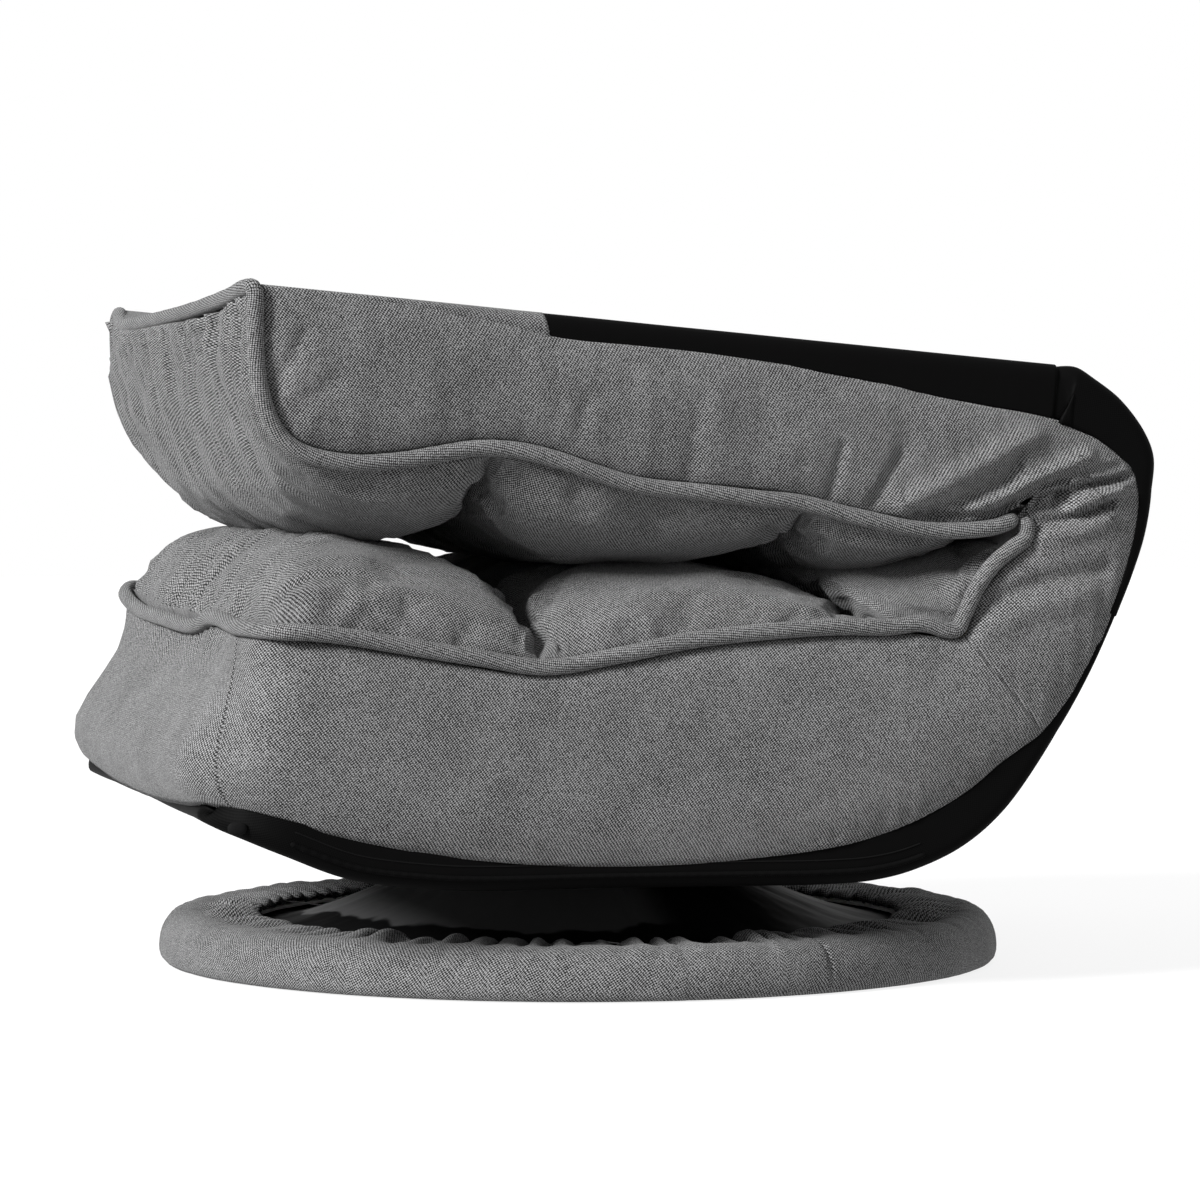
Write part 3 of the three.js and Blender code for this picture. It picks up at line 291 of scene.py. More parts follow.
def walled(name, outer, inner, around=False, cut=None):
    """Closed piece between two faces given as equal grids of places: quads over each face, and a
    strip along every open edge that joins the two. cut is its cloth map."""
    n, m = outer.shape[:2]
    at = np.arange(n * m).reshape(n, m)
    if around:
        at = np.concatenate([at, at[:1]])
    if cut is None:
        cut = lengths(np.concatenate([outer, outer[:1]]) if around else outer)
    spot = np.arange(cut.shape[0] * m).reshape(-1, m)

    def quads(a, b):
        sides = [(a[1:, 0], a[:-1, 0], b[:-1, 0], b[1:, 0]),
                 (a[:-1, -1], a[1:, -1], b[1:, -1], b[:-1, -1])]
        if not around:
            sides.append((a[0, :-1], a[0, 1:], b[0, 1:], b[0, :-1]))
            sides.append((a[-1, 1:], a[-1, :-1], b[-1, :-1], b[-1, 1:]))
        strips = [np.stack(side, -1) for side in sides]
        return np.concatenate([cells(a), cells(b)[:, [0, 3, 2, 1]], *strips])

    places = np.concatenate([outer.reshape(-1, 3), inner.reshape(-1, 3)])
    return made_mesh(name, places, quads(at, at + n * m), cut.reshape(-1, 2)[quads(spot, spot)])


def normals(grid, around=False):
    """Unit normals of a grid of places: the cross product of its two slopes."""
    padded = np.concatenate([grid[-1:], grid, grid[:1]]) if around else grid
    way = np.cross(np.gradient(padded, axis=0), np.gradient(padded, axis=1))
    way = way / np.maximum(np.linalg.norm(way, axis=2, keepdims=True), 1e-9)
    return way[1:-1] if around else way


def dress(piece, material, body, slot, *nodes):
    """Gives a finished piece its material and its body, and hides the CAD nodes it stands for; slot is not
    used.
    """
    piece.data.materials.append(material)
    if body:
        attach(piece, body)
    if nodes:
        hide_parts(*nodes)


RUFFLES = 78
RING_SEAM_TURN = math.radians(20.5)
RING_RADIUS = 258
RING_WALL = 1.1
ring_profile = spline([(203.5, 26.5), (206, 29.2), (212, 29.6), (224, 28.6), (236, 29.6), (246, 30.9),
                       (255, 28), (260.8, 20.5), (262.6, 12), (262.3, 5.5), (260, 1.6), (254, 0.5),
                       (242, 0.5), (222, 0.5), (199, 0.5)], 46, 2)
turn = np.linspace(0, 2 * np.pi, 1080, endpoint=False)[:, None]
drift = turn + 0.045 * ripple(turn * 17, 0 * turn, 3)
lobe = np.sin(drift * RUFFLES / 2) ** 2
lobe = lobe * (1 + 0.45 * ripple(turn * 23, 0 * turn, 5))
r, z = ring_profile.T[:, None]
from_hem = gone(ring_profile)[None]
lift = 6.5 * (lobe - 0.5) * (hump(from_hem - 20, 13) + 0.35 * np.exp(-from_hem / 34))
gathers = 0.9 * ripple(turn * 95 + 0 * r, from_hem / 25, 7) * np.exp(-from_hem / 34)
slack = 0.9 * ripple(turn * 31 + 0 * r, from_hem / 14, 8)
low = ramp(z, 0, 14) * (from_hem < 110)
hem_wave = 3.0 * (lobe - 0.5) * np.exp(-from_hem / 8)
ring_seam = 1.3 * hump((turn - RING_SEAM_TURN) * RING_RADIUS, 1.4) * low * ramp(from_hem, 20, 40)
radius = r - hem_wave + (slack * 0.5 - ring_seam) * (r > 240)
height = z + (lift + gathers + slack * (r < 256) - ring_seam) * low
cover_face = surface(radius * np.cos(turn), radius * np.sin(turn), np.maximum(height, 0.45))
out_way = normals(cover_face, True)
if np.sum(out_way[:, 12] * cover_face[:, 12]) < 0:
    out_way = -out_way
ring_inside = cover_face - out_way * RING_WALL
ring_inside[..., 2] = np.maximum(ring_inside[..., 2], 0.9)
ring_cover = walled("base_ring_cover", cover_face, ring_inside, True)
dress(ring_cover, heather, "base", "grey_linen", "base_cover")


# Hem stitches: a pale zigzag thread that holds the elastic in the gathered hem. It lies on the
# cover's own places and runs to and fro across the hem.
def rod(name, path, radius, sides, bias=0.0, closed=False):
    """Round cord along a path: each place carries a ring whose axes are carried on from the last
    one, so that they don't twist. The radius may change along it. Ends are drawn in and closed, and
    bias is the angle, in degrees, at which its cloth was cut."""
    path = np.asarray(path, float)
    n = len(path)
    size = np.zeros(n) + radius
    ways = np.roll(path, -1, 0) - np.roll(path, 1, 0) if closed else np.gradient(path, axis=0)
    ways = ways / np.linalg.norm(ways, axis=1, keepdims=True)
    first = np.cross(ways[0], [0.1, 0.3, 1.0])
    side = [first / np.linalg.norm(first)]
    for way in ways[1:]:
        carried = side[-1] - way * (side[-1] @ way)
        side.append(carried / np.linalg.norm(carried))
    side = np.array(side)
    if closed:
        other = np.cross(ways[0], side[0])
        ahead = side[-1] - ways[0] * (side[-1] @ ways[0])
        twist = math.atan2(ahead @ other, ahead @ side[0]) * np.linspace(0, 1, n)[:, None]
        side = side * np.cos(twist) - np.cross(ways, side) * np.sin(twist)
    else:
        ends = np.minimum(np.arange(n), np.arange(n)[::-1])
        size = size * np.interp(ends, [0, 1, 2, 3], [0.45, 0.78, 0.94, 1.0])
    up = np.cross(ways, side)
    angle = np.arange(sides + 1) * 2 * np.pi / sides
    ring = np.cos(angle)[:, None] * side[:, None] + np.sin(angle)[:, None] * up[:, None]
    grid = path[:, None] + ring * size[:, None, None]
    along = gone(path)
    if closed:
        grid = np.concatenate([grid, grid[:1]])
        along = np.append(along, along[-1] + np.linalg.norm(path[0] - path[-1]))
    u = along[:, None] + 0 * angle
    v = angle * np.mean(size) + 0 * u
    c, s = math.cos(math.radians(bias)), math.sin(math.radians(bias))
    cut = np.stack([u * c - v * s, u * s + v * c], 2) * 0.01
    at = (np.arange(len(grid)) % n)[:, None] * sides + np.arange(sides + 1) % sides
    spot = np.arange(at.size).reshape(at.shape)
    faces, corners = cells(at), cells(spot)
    if not closed:
        half = np.arange(sides // 2 - 1)
        for row, turned in ((0, 1), (n - 1, -1)):
            strip = np.stack([half, half + 1, sides - 2 - half, sides - 1 - half], -1)[:, ::turned]
            faces = np.concatenate([faces, at[row][strip]])
            corners = np.concatenate([corners, spot[row][strip]])
    places = grid[:n, :sides].reshape(-1, 3)
    return made_mesh(name, places, faces, cut.reshape(-1, 2)[corners])


STITCHES = 420
thread_turn = np.linspace(0, 2 * np.pi, 4 * STITCHES, endpoint=False)
zigzag = np.abs((thread_turn * STITCHES / 2 / np.pi) % 2 - 1)
row_at = np.interp(thread_turn, turn[:, 0], np.arange(len(turn)), period=2 * np.pi)
hem_row = 6.2 + 1.6 * zigzag
low_row = np.floor(hem_row).astype(int)
part = (hem_row - low_row)[:, None]
here = np.round(row_at).astype(int) % len(turn)
stitch_path = cover_face[here, low_row] * (1 - part) + cover_face[here, low_row + 1] * part
stitch_path[:, 2] += 0.25
hem_stitch = rod("base_hem_stitch", stitch_path, 0.38, 5, closed=True)
dress(hem_stitch, linen("pale_thread", 0.16, 0.4, 0.0006), "base", "grey_linen")


# Steel, nylon, foam and webbing under the covers: the tubes, rails and seat plates are powder
# coated black; the bearing's lower plate, arms, pawls, pins and screws are zinc plated.
def painted_steel():
    made = Finish("painted_steel")
    peel = made.noise(made.place(), 900.0)
    patch = made.noise(made.place(), 35.0, 3.0)
    colour = made.mixed(patch.between(0.3, 0.7), grey(0.012), grey(0.02))
    return made.wear(Base_Color=colour, Roughness=patch * 0.15 + 0.33,
                     Normal=made.bump(peel, 0.0002, 0.35))


def zinc_steel():
    made = Finish("zinc_steel")
    x, y, z = made.parts(made.place())
    grain = made.noise(made.joined(x * 40.0, y * 900.0, z * 900.0), 1.0)
    patch = made.noise(made.place(), 60.0, 3.0)
    colour = made.mixed(patch, (0.50, 0.50, 0.49, 1), (0.66, 0.66, 0.67, 1))
    return made.wear(Base_Color=colour, Roughness=grain * 0.2 + 0.22, Metallic=1.0,
                     Normal=made.bump(grain, 0.0001, 0.3))


def white_nylon():
    made = Finish("white_nylon")
    patch = made.noise(made.place(), 180.0)
    colour = made.mixed(patch, (0.62, 0.62, 0.59, 1), (0.72, 0.72, 0.70, 1))
    return made.wear(Base_Color=colour, Roughness=0.48, Normal=made.bump(patch, 0.0002, 0.3))


def foam():
    made = Finish("foam")
    pores = made.node("ShaderNodeTexVoronoi", {"feature": "F1"},
                      {"Vector": made.place(), "Scale": 520.0})
    patch = made.noise(made.place(), 22.0, 3.0)
    colour = made.mixed(patch, (0.60, 0.55, 0.38, 1), (0.72, 0.68, 0.52, 1))
    return made.wear(Base_Color=colour, Roughness=0.95, Normal=made.bump(pores, 0.0006, 0.7))


def webbing():
    made = Finish("black_sling")
    x, y, _ = made.parts(made.place())
    over = (x * 2000.0).sine() * (y * 2000.0).sine()
    colour = made.mixed(over.between(-0.5, 0.5), grey(0.008), grey(0.018))
    return made.wear(Base_Color=colour, Roughness=0.8, Normal=made.bump(abs(over), 0.0004, 0.6))


pale_foam = foam()
finishes = {
    painted_steel(): ("base_ring_tube", "base_rail", "swivel_pedestal", "seat_frame_tube",
                      "seat_cross_tube", "back_frame_tube", "back_cross_tube", "hinge_seat_plate"),
    zinc_steel(): ("swivel_lower", "base_screw", "swivel_rivet", "bearing_ball", "seat_bolt",
                   "hinge_back_arm", "hinge_pin", "hinge_pawl"),
    white_nylon(): ("base_hem_elastic", "bearing_cage"),
    pale_foam: ("base_foam_sleeve", "seat_foam", "back_foam"),
    webbing(): ("seat_sling", "back_sling"),
}
for node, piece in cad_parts.items():
    for material, beginnings in finishes.items():
        if node.startswith(beginnings):
            piece.data.materials.clear()
            piece.data.materials.append(material)


# Bottom cloth: a thin black non-woven disc sewn to the inner edge of the ring cover. It ripples
# more towards its rim.
def felt(name, dark, light):
    made = Finish(name)
    hairs = made.noise(made.place(), 700.0, 4.0, 0.7)
    colour = made.mixed(hairs, grey(dark), grey(light))
    return made.wear(Base_Color=colour, Roughness=0.9, Normal=made.bump(hairs, 0.0003, 0.5),
                     Specular_IOR_Level=0.04)


BOTTOM_RADIUS = 198
share = np.linspace(0.002, 1, 40)[None]
around = np.linspace(0, 2 * np.pi, 240, endpoint=False)[:, None]
r = BOTTOM_RADIUS * share
wave = 0.4 * share**3 * ripple(around * 14, share * 3, 12)
bottom_face = surface(r * np.cos(around), r * np.sin(around), 1.0 - np.abs(wave))
bottom_cloth = walled("base_bottom_sheet", bottom_face, bottom_face + [0, 0, 0.5], True)
dress(bottom_cloth, felt("black_felt", 0.002, 0.006), "base", "black_lining", "base_bottom_cloth")


# Vinyl dust sheet: glossy black vinyl stretched from the hem up to the neck of the pedestal, with
# soft folds that fan out from the neck. The slope in front of the neck has a painted grey reflection.
def vinyl():
    made = Finish("black_vinyl")
    soft = made.noise(made.place(), 14.0, 3.0)
    fine = made.noise(made.place(), 420.0)
    x, y, _ = made.parts(made.place())
    from_neck = (x * x + y * y) ** 0.5 + (soft - 0.5) * 0.07
    # Painted reflection: a grey band put in the colour on the slope in front of the neck, front half only.
    painted_reflection = (0.163 - from_neck).between(0.0, 0.004) * (0.03 - y).between(0.0, 0.03)
    colour = made.mixed(painted_reflection, made.mixed(soft, grey(0.002), grey(0.005)), grey(0.05))
    return made.wear(Base_Color=colour, Roughness=soft * 0.2 + 0.42, Specular_IOR_Level=0.012,
                     Normal=made.bump(soft + fine * 0.02, 0.004, 0.25))


sheet_line = spline([(223, 21.6), (206, 21.6), (192, 22.6), (160, 31), (128, 43.5), (104, 53.5),
                     (95, 56.2)], 52, 2)
around = np.linspace(0, 2 * np.pi, 480, endpoint=False)[:, None]
r, z = sheet_line.T[:, None]
fans = 1.5 * ripple(around * 7 + r / 90, r / 45, 21) + 0.5 * ripple(around * 22, r / 18, 22)
fans = fans * ramp(r, 206, 186) * ramp(r, 94, 108)
sheet_face = surface(r * np.cos(around), r * np.sin(around), z + fans)
vinyl_sheet = walled("base_vinyl_sheet", sheet_face, sheet_face - [0, 0, 0.7], True)
dress(vinyl_sheet, vinyl(), "base", "black_vinyl", "base_dust_sheet")

# Seat bottom lining: black cloth drawn over the underside and up the rear of the seat, turned up
# at both sides in a flange that meets the grey side cover.
HINGE = np.array([237.0, 318.0])
# Lower edge of the side covers, from the front round the hinge and along the back, and the outer
# face of the lining, as places in the YZ plane.
SEAT_EDGE = [(-281, 116), (-270, 117.5), (-263, 116), (-234, 108.6), (-205, 100.5), (-175, 92.5),
             (-136, 86.5), (-54, 80), (30, 82), (114, 94), (163, 115), (194, 138), (219, 156),
             (244, 189), (265.9, 235), (272, 255), (275.6, 269.3), (278.6, 289.4), (276.3, 305),
             (265.6, 317.3), (250.4, 328), (230.7, 336), (200.5, 343), (161.6, 349.2), (96, 364),
             (6, 376.5), (-77, 384.5), (-112, 393), (-158, 402), (-205, 409), (-252, 414)]
SEAT_SKIN = [(-277.5, 117), (-279.6, 113), (-279, 108.8), (-272, 104.5), (-258, 98.5), (-235, 89),
             (-198, 75), (-150, 68), (-121, 66.5), (-52, 66.5), (31, 66), (86, 65.8), (115, 67.5),
             (140, 73), (170, 86), (195, 106), (222, 142), (246, 184), (264, 222), (275, 249)]
LINING_WALL = 1.2
LINING_HALF = 261.0
edge_line = spline(SEAT_EDGE, 400, 2)


def left_of(line):
    """Unit vectors square to a line, on its left as it runs."""
    along = np.gradient(line, axis=0)
    along = along / np.linalg.norm(along, axis=1, keepdims=True)
    return np.stack([-along[:, 1], along[:, 0]], axis=1)


def depth_to(edge, line, inward, reach=60.0):
    """How far in from each place of a line, along its inward vector, it meets an edge line."""
    s = edge[1:] - edge[:-1]
    d = inward[:, None]
    cross = d[..., 0] * s[:, 1] - d[..., 1] * s[:, 0]
    cross = np.where(np.abs(cross) < 1e-9, 1e-9, cross)
    g = edge[:-1] - line[:, None]
    far = (g[..., 0] * s[:, 1] - g[..., 1] * s[:, 0]) / cross
    share = (g[..., 0] * d[..., 1] - g[..., 1] * d[..., 0]) / cross
    good = (share >= -0.02) & (share <= 1.02) & (far > 0) & (far < reach)
    return np.where(good, far, reach).min(axis=1)


def flange_along(line, inward, least, most, even):
    """Depth of a skin's flange along its line: how far in the side cover's edge lies, evened out
    over the given number of places to either side."""
    deep = np.clip(depth_to(edge_line, line, inward), least, most)
    count = 2 * even + 1
    return np.convolve(np.pad(deep, even, mode="edge"), np.ones(count) / count, "valid")


def behind(face, wall, middle):
    """Inner side of a cloth of a given wall; middle is a place on that side."""
    way = normals(face)
    if np.sum(way * (face - np.array(middle))) < 0:
        way = -way
    return face - way * wall


def tray(line, inward, flange, width, sag, seed):
    """Outer and inner face of a skin along a line: its section runs down the left flange, round its
    edge, across and up the other flange. flange is how far its tips stand in from the line, width
    the half width, and sag how far its middle hangs in."""
    turns = np.linspace(0, np.pi / 2, 9)
    flange = (np.zeros(len(line)) + flange)[:, None]
    half = (np.zeros(len(line)) + width)[:, None]
    corner = np.minimum(9.0, flange * 0.8)
    rise = np.linspace(1, 0, 7)[None, :-1]
    up_x = half + 0 * rise
    up_d = corner + (flange - corner) * rise
    round_x = half - corner * (1 - np.cos(turns))
    round_d = corner * (1 - np.sin(turns))
    flat_x = (half - corner) * -np.linspace(-1, 1, 61)[1:-1]
    x = np.concatenate([up_x, round_x, flat_x, -round_x[:, ::-1], -up_x[:, ::-1]], axis=1)
    d = np.concatenate([up_d, round_d, 0 * flat_x, round_d[:, ::-1], up_d[:, ::-1]], axis=1)
    d = d + ramp(half - np.abs(x), 0, 40) * (sag + 0.8 * ripple(gone(line)[:, None] / 55, x / 60, seed))
    y, z = line.T[..., None] + inward.T[..., None] * d
    face = surface(x, y, z)
    return face, behind(face, LINING_WALL, [0, *(line.mean(0) + inward.mean(0) * 60)])


def corner_cut(from_front, radius):
    """How much narrower a corner of a given radius makes a piece, from its front edge back."""
    ahead = radius - np.clip(from_front, 0, radius)
    return radius - np.sqrt(radius**2 - ahead**2)


def lining_cloth():
    """Close black weave with faint ribs and a slight shine."""
    made = Finish("black_lining")
    u, v, _ = made.parts(made.cloth())
    ribs = math.pi * 0.1 / 0.0009
    over = (u * ribs).sine() * (v * ribs).sine()
    fold = made.noise(made.joined(u, v * 0.5), 1.6, 3.0, 0.6)
    grain = made.noise(made.joined(u, v), 70.0, 1.0)
    colour = made.mixed(over.between(-0.6, 0.6), grey(0.0006), grey(0.0022))
    normal = made.bump(grain * 0.05 + fold, 0.0022, 0.6)
    return made.wear(Base_Color=colour, Roughness=0.58, Normal=normal, Specular_IOR_Level=0.018)


seat_skin = spline(SEAT_SKIN, 250, 2)
seat_in = left_of(seat_skin)
seat_flange = flange_along(seat_skin, seat_in, 4, 32, 6)
seat_width = LINING_HALF - corner_cut(seat_skin[:, 0] + 281, 45)
seat_lining = walled("seat_bottom_lining",
                     *tray(seat_skin, seat_in, seat_flange + 1.5, seat_width, 0.5, 31))
black_cloth = lining_cloth()
dress(seat_lining, black_cloth, "seat", "black_lining", "seat_lining")

# Zip: a covered coil zip along the left flange of the lining, with a small metal slider, and the
# seam that holds its tape 7 mm above it.
zipped = (seat_skin[:, 0] > -238) & (seat_skin[:, 0] < 148)
zip_line = spline(seat_skin[zipped] + seat_in[zipped] * 8.0, 560, 2)
seam_line = spline(zip_line + left_of(zip_line) * 7.0, 560, 2)
coil = 1.5 * (1.0 + 0.22 * np.sin(np.arange(560) * np.pi * 0.9))
zip_coil = rod("seat_zip_coil", np.insert(zip_line, 0, 261.6, axis=1), coil, 8)
zip_seam = rod("seat_zip_seam", np.insert(seam_line, 0, 261.2, axis=1), 0.45, 6)
dress(zip_seam, felt("black_thread", 0.002, 0.004), "seat", "black_lining")
dress(zip_coil, felt("zip_coil", 0.0006, 0.002), "seat", "black_lining", "seat_zip")


def bent(value):
    """A sine or cosine raised to the power of 0.85 with its sign kept, which squares a ball off."""
    return np.sign(value) * np.abs(value) ** 0.85


a = np.linspace(-np.pi / 2 + 0.02, np.pi / 2 - 0.02, 28)[None]
b = np.linspace(0, 2 * np.pi, 56, endpoint=False)[:, None]
ball = surface(2.4 * bent(np.cos(a)) * bent(np.cos(b)), 5.5 * bent(np.cos(a)) * bent(np.sin(b)),
               3.8 * bent(np.sin(a)))
slider_at = np.array([254.5, -262.5, 105.5])
slider = walled("seat_zip_pull", ball + slider_at, ball * 0.02 + slider_at, True)
dress(slider, felt("zip_pull", 0.002, 0.006), "seat", "plain_steel", "seat_zip_slider")

# Seat side cover: one band of linen over thin foam, sewn to the lining below and to the piping
# above. It runs from one side of the hinge round the front to the other side.
SEAM_X = 258
COVER_WALL = 1.4
SEAT_PIPE = [(204.5, 280), (206.7, 274), (205.3, 268.2), (197.8, 262.5), (185.8, 252.6), (175.3, 238.5),
             (167.9, 223), (163.5, 215), (156, 214.8), (147, 217.5), (139, 218.5), (122, 216.5),
             (95, 217), (67, 216), (5, 210.5), (-40, 202), (-84, 195.5), (-126, 201.5),
             (-171, 209), (-200, 214), (-222, 216.5)]
BACK_PIPE = [(200, 281), (196, 278.2), (185.7, 274.7), (162, 272.7), (136.5, 274.2), (101, 281.4),
             (67, 289.5), (41, 292), (5, 296), (-31, 300), (-55, 307), (-78, 314.5), (-102, 320),
             (-125, 321), (-148, 317.5), (-171, 314), (-200, 313), (-229, 320), (-243, 334),
             (-251, 359), (-253, 385), (-253, 407)]
# Folds that run into the hinge: the places along each, its height and its width.
FOLDS = [
    ([(228, 294.5), (243, 299), (261, 301.6), (275, 306.6)], -8.0, 2.6),
    ([(234, 304), (250, 309), (268, 312)], 4.0, 5.0),
    ([(207, 276), (228, 279), (243, 282), (258, 288)], -7.0, 2.8),
    ([(234, 287), (246, 291), (264, 297)], 5.5, 4.2),
    ([(215, 269), (235, 271), (256, 279)], 4.0, 6.0),
    ([(138, 282), (156, 280.5), (174, 282), (195, 285), (203, 289), (213, 292.4), (228, 295)],
     -5.0, 2.6),
    ([(213, 288), (225, 287.5), (231, 292)], -9.0, 4.5),
    ([(130, 288), (156, 301), (186, 317), (210, 329)], 5.0, 7.0),
    ([(150, 284), (171, 292), (193, 301), (201, 316)], -5.0, 4.5),
    ([(174, 286), (193, 294), (216, 305.5), (243, 317)], 5.5, 5.0),
    ([(196, 288), (216, 299.5), (238, 306), (264, 311)], -5.5, 3.2),
    ([(170, 220), (180, 227), (193, 234), (216, 242.5), (254, 249)], -4.5, 5.5),
    ([(178, 214), (200, 224), (240, 234)], 3.0, 8.0),
    ([(92, 322), (86, 294)], -2.2, 3.5),
    ([(128, 318), (112, 290)], -3.2, 4.0),
    ([(7, 349), (1, 308)], -1.2, 5.0),
    ([(-60, 350), (-70, 322)], -1.2, 5.0),
    ([(-208, 360), (-236, 338)], -1.5, 6.0),
    ([(-225, 385), (-246, 350)], -2.0, 5.0),
]
pipe_line = BACK_PIPE[::-1] + SEAT_PIPE


def distance(y, z, line):
    """Distance from each place to the nearest stretch of a line in the YZ plane."""
    best = np.full(np.shape(y), 1e9)
    line = np.asarray(line, float)
    for a, b in zip(line[:-1], line[1:]):
        s = b - a
        share = np.clip(((y - a[0]) * s[0] + (z - a[1]) * s[1]) / (s @ s), 0, 1)
        best = np.minimum(best, np.hypot(y - a[0] - share * s[0], z - a[1] - share * s[1]))
    return best


def side_bulge(y, z):
    """How far a side cover stands out from its seams: 3 mm at the lining's edge and 11 mm between
    there and the piping, with the folds that run into the hinge, soft upright folds on the back
    and puckers along both seams added."""
    seam = distance(y, z, pipe_line)
    edge = distance(y, z, SEAT_EDGE)
    plump = (1 - np.exp(-edge / 12)) * (1 - np.exp(-np.maximum(seam - 3, 0) / 14))
    out = 3 * (1 - np.exp(-seam / 8)) + 8 * plump
    calm = np.clip(edge / 11, 0.12, 1)
    for line, high, wide in FOLDS:
        out = out + high * calm * hump(distance(y, z, line), wide)
    upright = ripple(y / 7.5, z / 70, 43) * ramp(z, 270, 300) * ramp(edge, 0, 18)
    pucker = ripple(y / 3.2, z / 26, 44) * np.exp(-seam / 9) * (seam > 4)
    low = ripple(y / 1.9, z / 60, 45) * np.exp(-edge / 17) * ramp(edge, 0, 5)
    pucker = pucker + 3.6 * low * ramp(y, 40, 100) * (z < 240)
    slack = 0.8 * ripple(y / 30, z / 30, 41) + 0.25 * ripple(y / 9, z / 9, 42)
    return out + slack + 0.8 * upright + 0.5 * pucker


def panel(name, face, wall, middle, cut=None):
    """Cloth of a given wall behind its outer face; middle is a place on its inner side."""
    return walled(name, face, behind(face, wall, middle), False, cut)


def nearest(line, place):
    """Number of the place on a line that lies nearest to the given place."""
    return np.argmin(np.linalg.norm(line - np.array(place), axis=1))


def seam_shares(total, seams, count, fine=0.8, reach=7.0):
    """Shares along a length in even steps, with fine steps close to each seam."""
    even = np.linspace(0, total, count)
    close = [seam + np.arange(-reach, reach + 0.01, fine) for seam in seams]
    places = np.unique(np.clip(np.concatenate([even, *close]), 0, total))
    places = places[np.append(np.diff(places) > 0.3 * fine, True)]
    places[0] = 0
    return places / total


# Stations of the band along the straight side: y and z of its lower and of its upper edge.
SIDE = [(272, 255, 237, 318), (270, 248, 235, 308), (267, 240, 229, 298), (264, 231, 219, 292.5),
        (261, 224, 209, 288), (258, 217, 208, 280), (254, 208, 210, 270), (249, 199, 203, 261),
        (244, 189, 191, 250), (238, 180, 181, 237), (230, 169, 173, 222), (217, 154, 168, 211),
        (194, 138, 154, 210.5), (163, 115, 132, 213), (114, 94, 95, 212.5), (30, 82, 5, 206),
        (-54, 80, -84, 191), (-136, 86.5, -171, 204.5)]
# Stations round the corner: place of the lower and of the upper edge, the way it faces in degrees
# from +X towards -Y, and how far it is the front's shape.
CORNER = [(258, -190, 96.5, 257.5, -205, 210, 4, 0.02), (257, -225, 106, 250, -232, 212, 16, 0.15),
          (253, -245, 111.5, 235, -246, 213, 30, 0.4), (244, -262, 115.5, 203, -252, 213, 47, 0.8),
          (224, -275, 116.5, 180, -252.5, 214.5, 68, 0.95), (195, -280, 114.5, 155, -253, 216, 84, 1),
          (150, -281, 112.5, 118, -253, 215.5, 90, 1), (90, -281, 110.5, 72, -253, 210.5, 90, 1),
          (0, -281, 109.5, 0, -253, 208.5, 90, 1)]
# How far the front stands out at each share of its height, and how much higher than its stations
# its upper seam runs at each x.
FRONT_PROFILE = ([0, 0.07, 0.16, 0.28, 0.42, 0.56, 0.7, 0.85, 1], [0, 10, 17, 20, 16.5, 10.5, 5, 1.5, 0])
FRONT_HEIGHTS = ([-262, -240, -200, -150, -90, 0, 90, 155, 203, 262], [11, 11, 6, 3, 0, 0, 0, 0, 0, 0])
# Stations at which the band's pieces are sewn to each other.
SEAM_STATIONS = (11, 21, -22, -12)
straight = [(SEAM_X, *edges[:2], SEAM_X, *edges[2:], 0, 0) for edges in SIDE]
near_half = np.array(straight + CORNER, float)
far_half = near_half[:-1][::-1].copy()
far_half[:, [0, 3]] *= -1
far_half[:, 6] = 180 - far_half[:, 6]
stations = np.concatenate([near_half, far_half])
rough_run = spline(stations, 2000, 6)
gone_run = gone(rough_run[:, :6])
seam_spots = [gone_run[nearest(rough_run[:, :6], stations[k, :6])] for k in SEAM_STATIONS]
shares = seam_shares(gone_run[-1], seam_spots, 470)
run = spline(stations, shares, 6)
low, top = run[:, None, 0:3], run[:, None, 3:6].copy()
facing, frontness = np.radians(run[:, None, 6]), run[:, None, 7]
top[..., 2] += np.interp(top[..., 0], *FRONT_HEIGHTS) * (frontness > 0.5)
share = np.linspace(0, 1, 46)[None]
share = share + 0.06 * np.sin(2 * np.pi * share)
base = low + (top - low) * share[..., None]
x, y, z = np.moveaxis(base, 2, 0)
front = np.interp(share, *FRONT_PROFILE) + 0.8 * ripple(x / 30, z / 24, 52)
gather = 2.2 * np.sin(x / 3.1 + 2.2 * ripple(x / 24, share * 2, 51))
gather = gather * np.exp(-(1 - share) / 0.3) * np.clip((210 - np.abs(x)) / 60, 0.25, 1)
bulge = (1 - frontness) * side_bulge(y, z) + frontness * (front + gather)
from_seam = np.abs(shares[:, None] * gone_run[-1] - np.array(seam_spots)).min(axis=1)[:, None]
groove = 1.3 * hump(from_seam, 1.1) - 0.35 * hump(from_seam - 3.2, 1.8)
bulge = bulge - groove * ramp(np.minimum(share, 1 - share), 0, 0.03)
side_face = base + surface(np.cos(facing), -np.sin(facing), 0) * bulge[..., None]
middle_x, middle_y = x[:, 23:24], y[:, 23:24]
plan_run = gone(np.concatenate([middle_x, middle_y], axis=1))[:, None]
flat_run = plan_run + np.sign(middle_x) * (middle_y - y) * (1 - frontness)
side_cover = panel("seat_side_cover", side_face, COVER_WALL, (0, 0, 160), np.stack([flat_run, z], 2) * 0.01)
dress(side_cover, heather, "seat", "grey_linen", "seat_boxing")

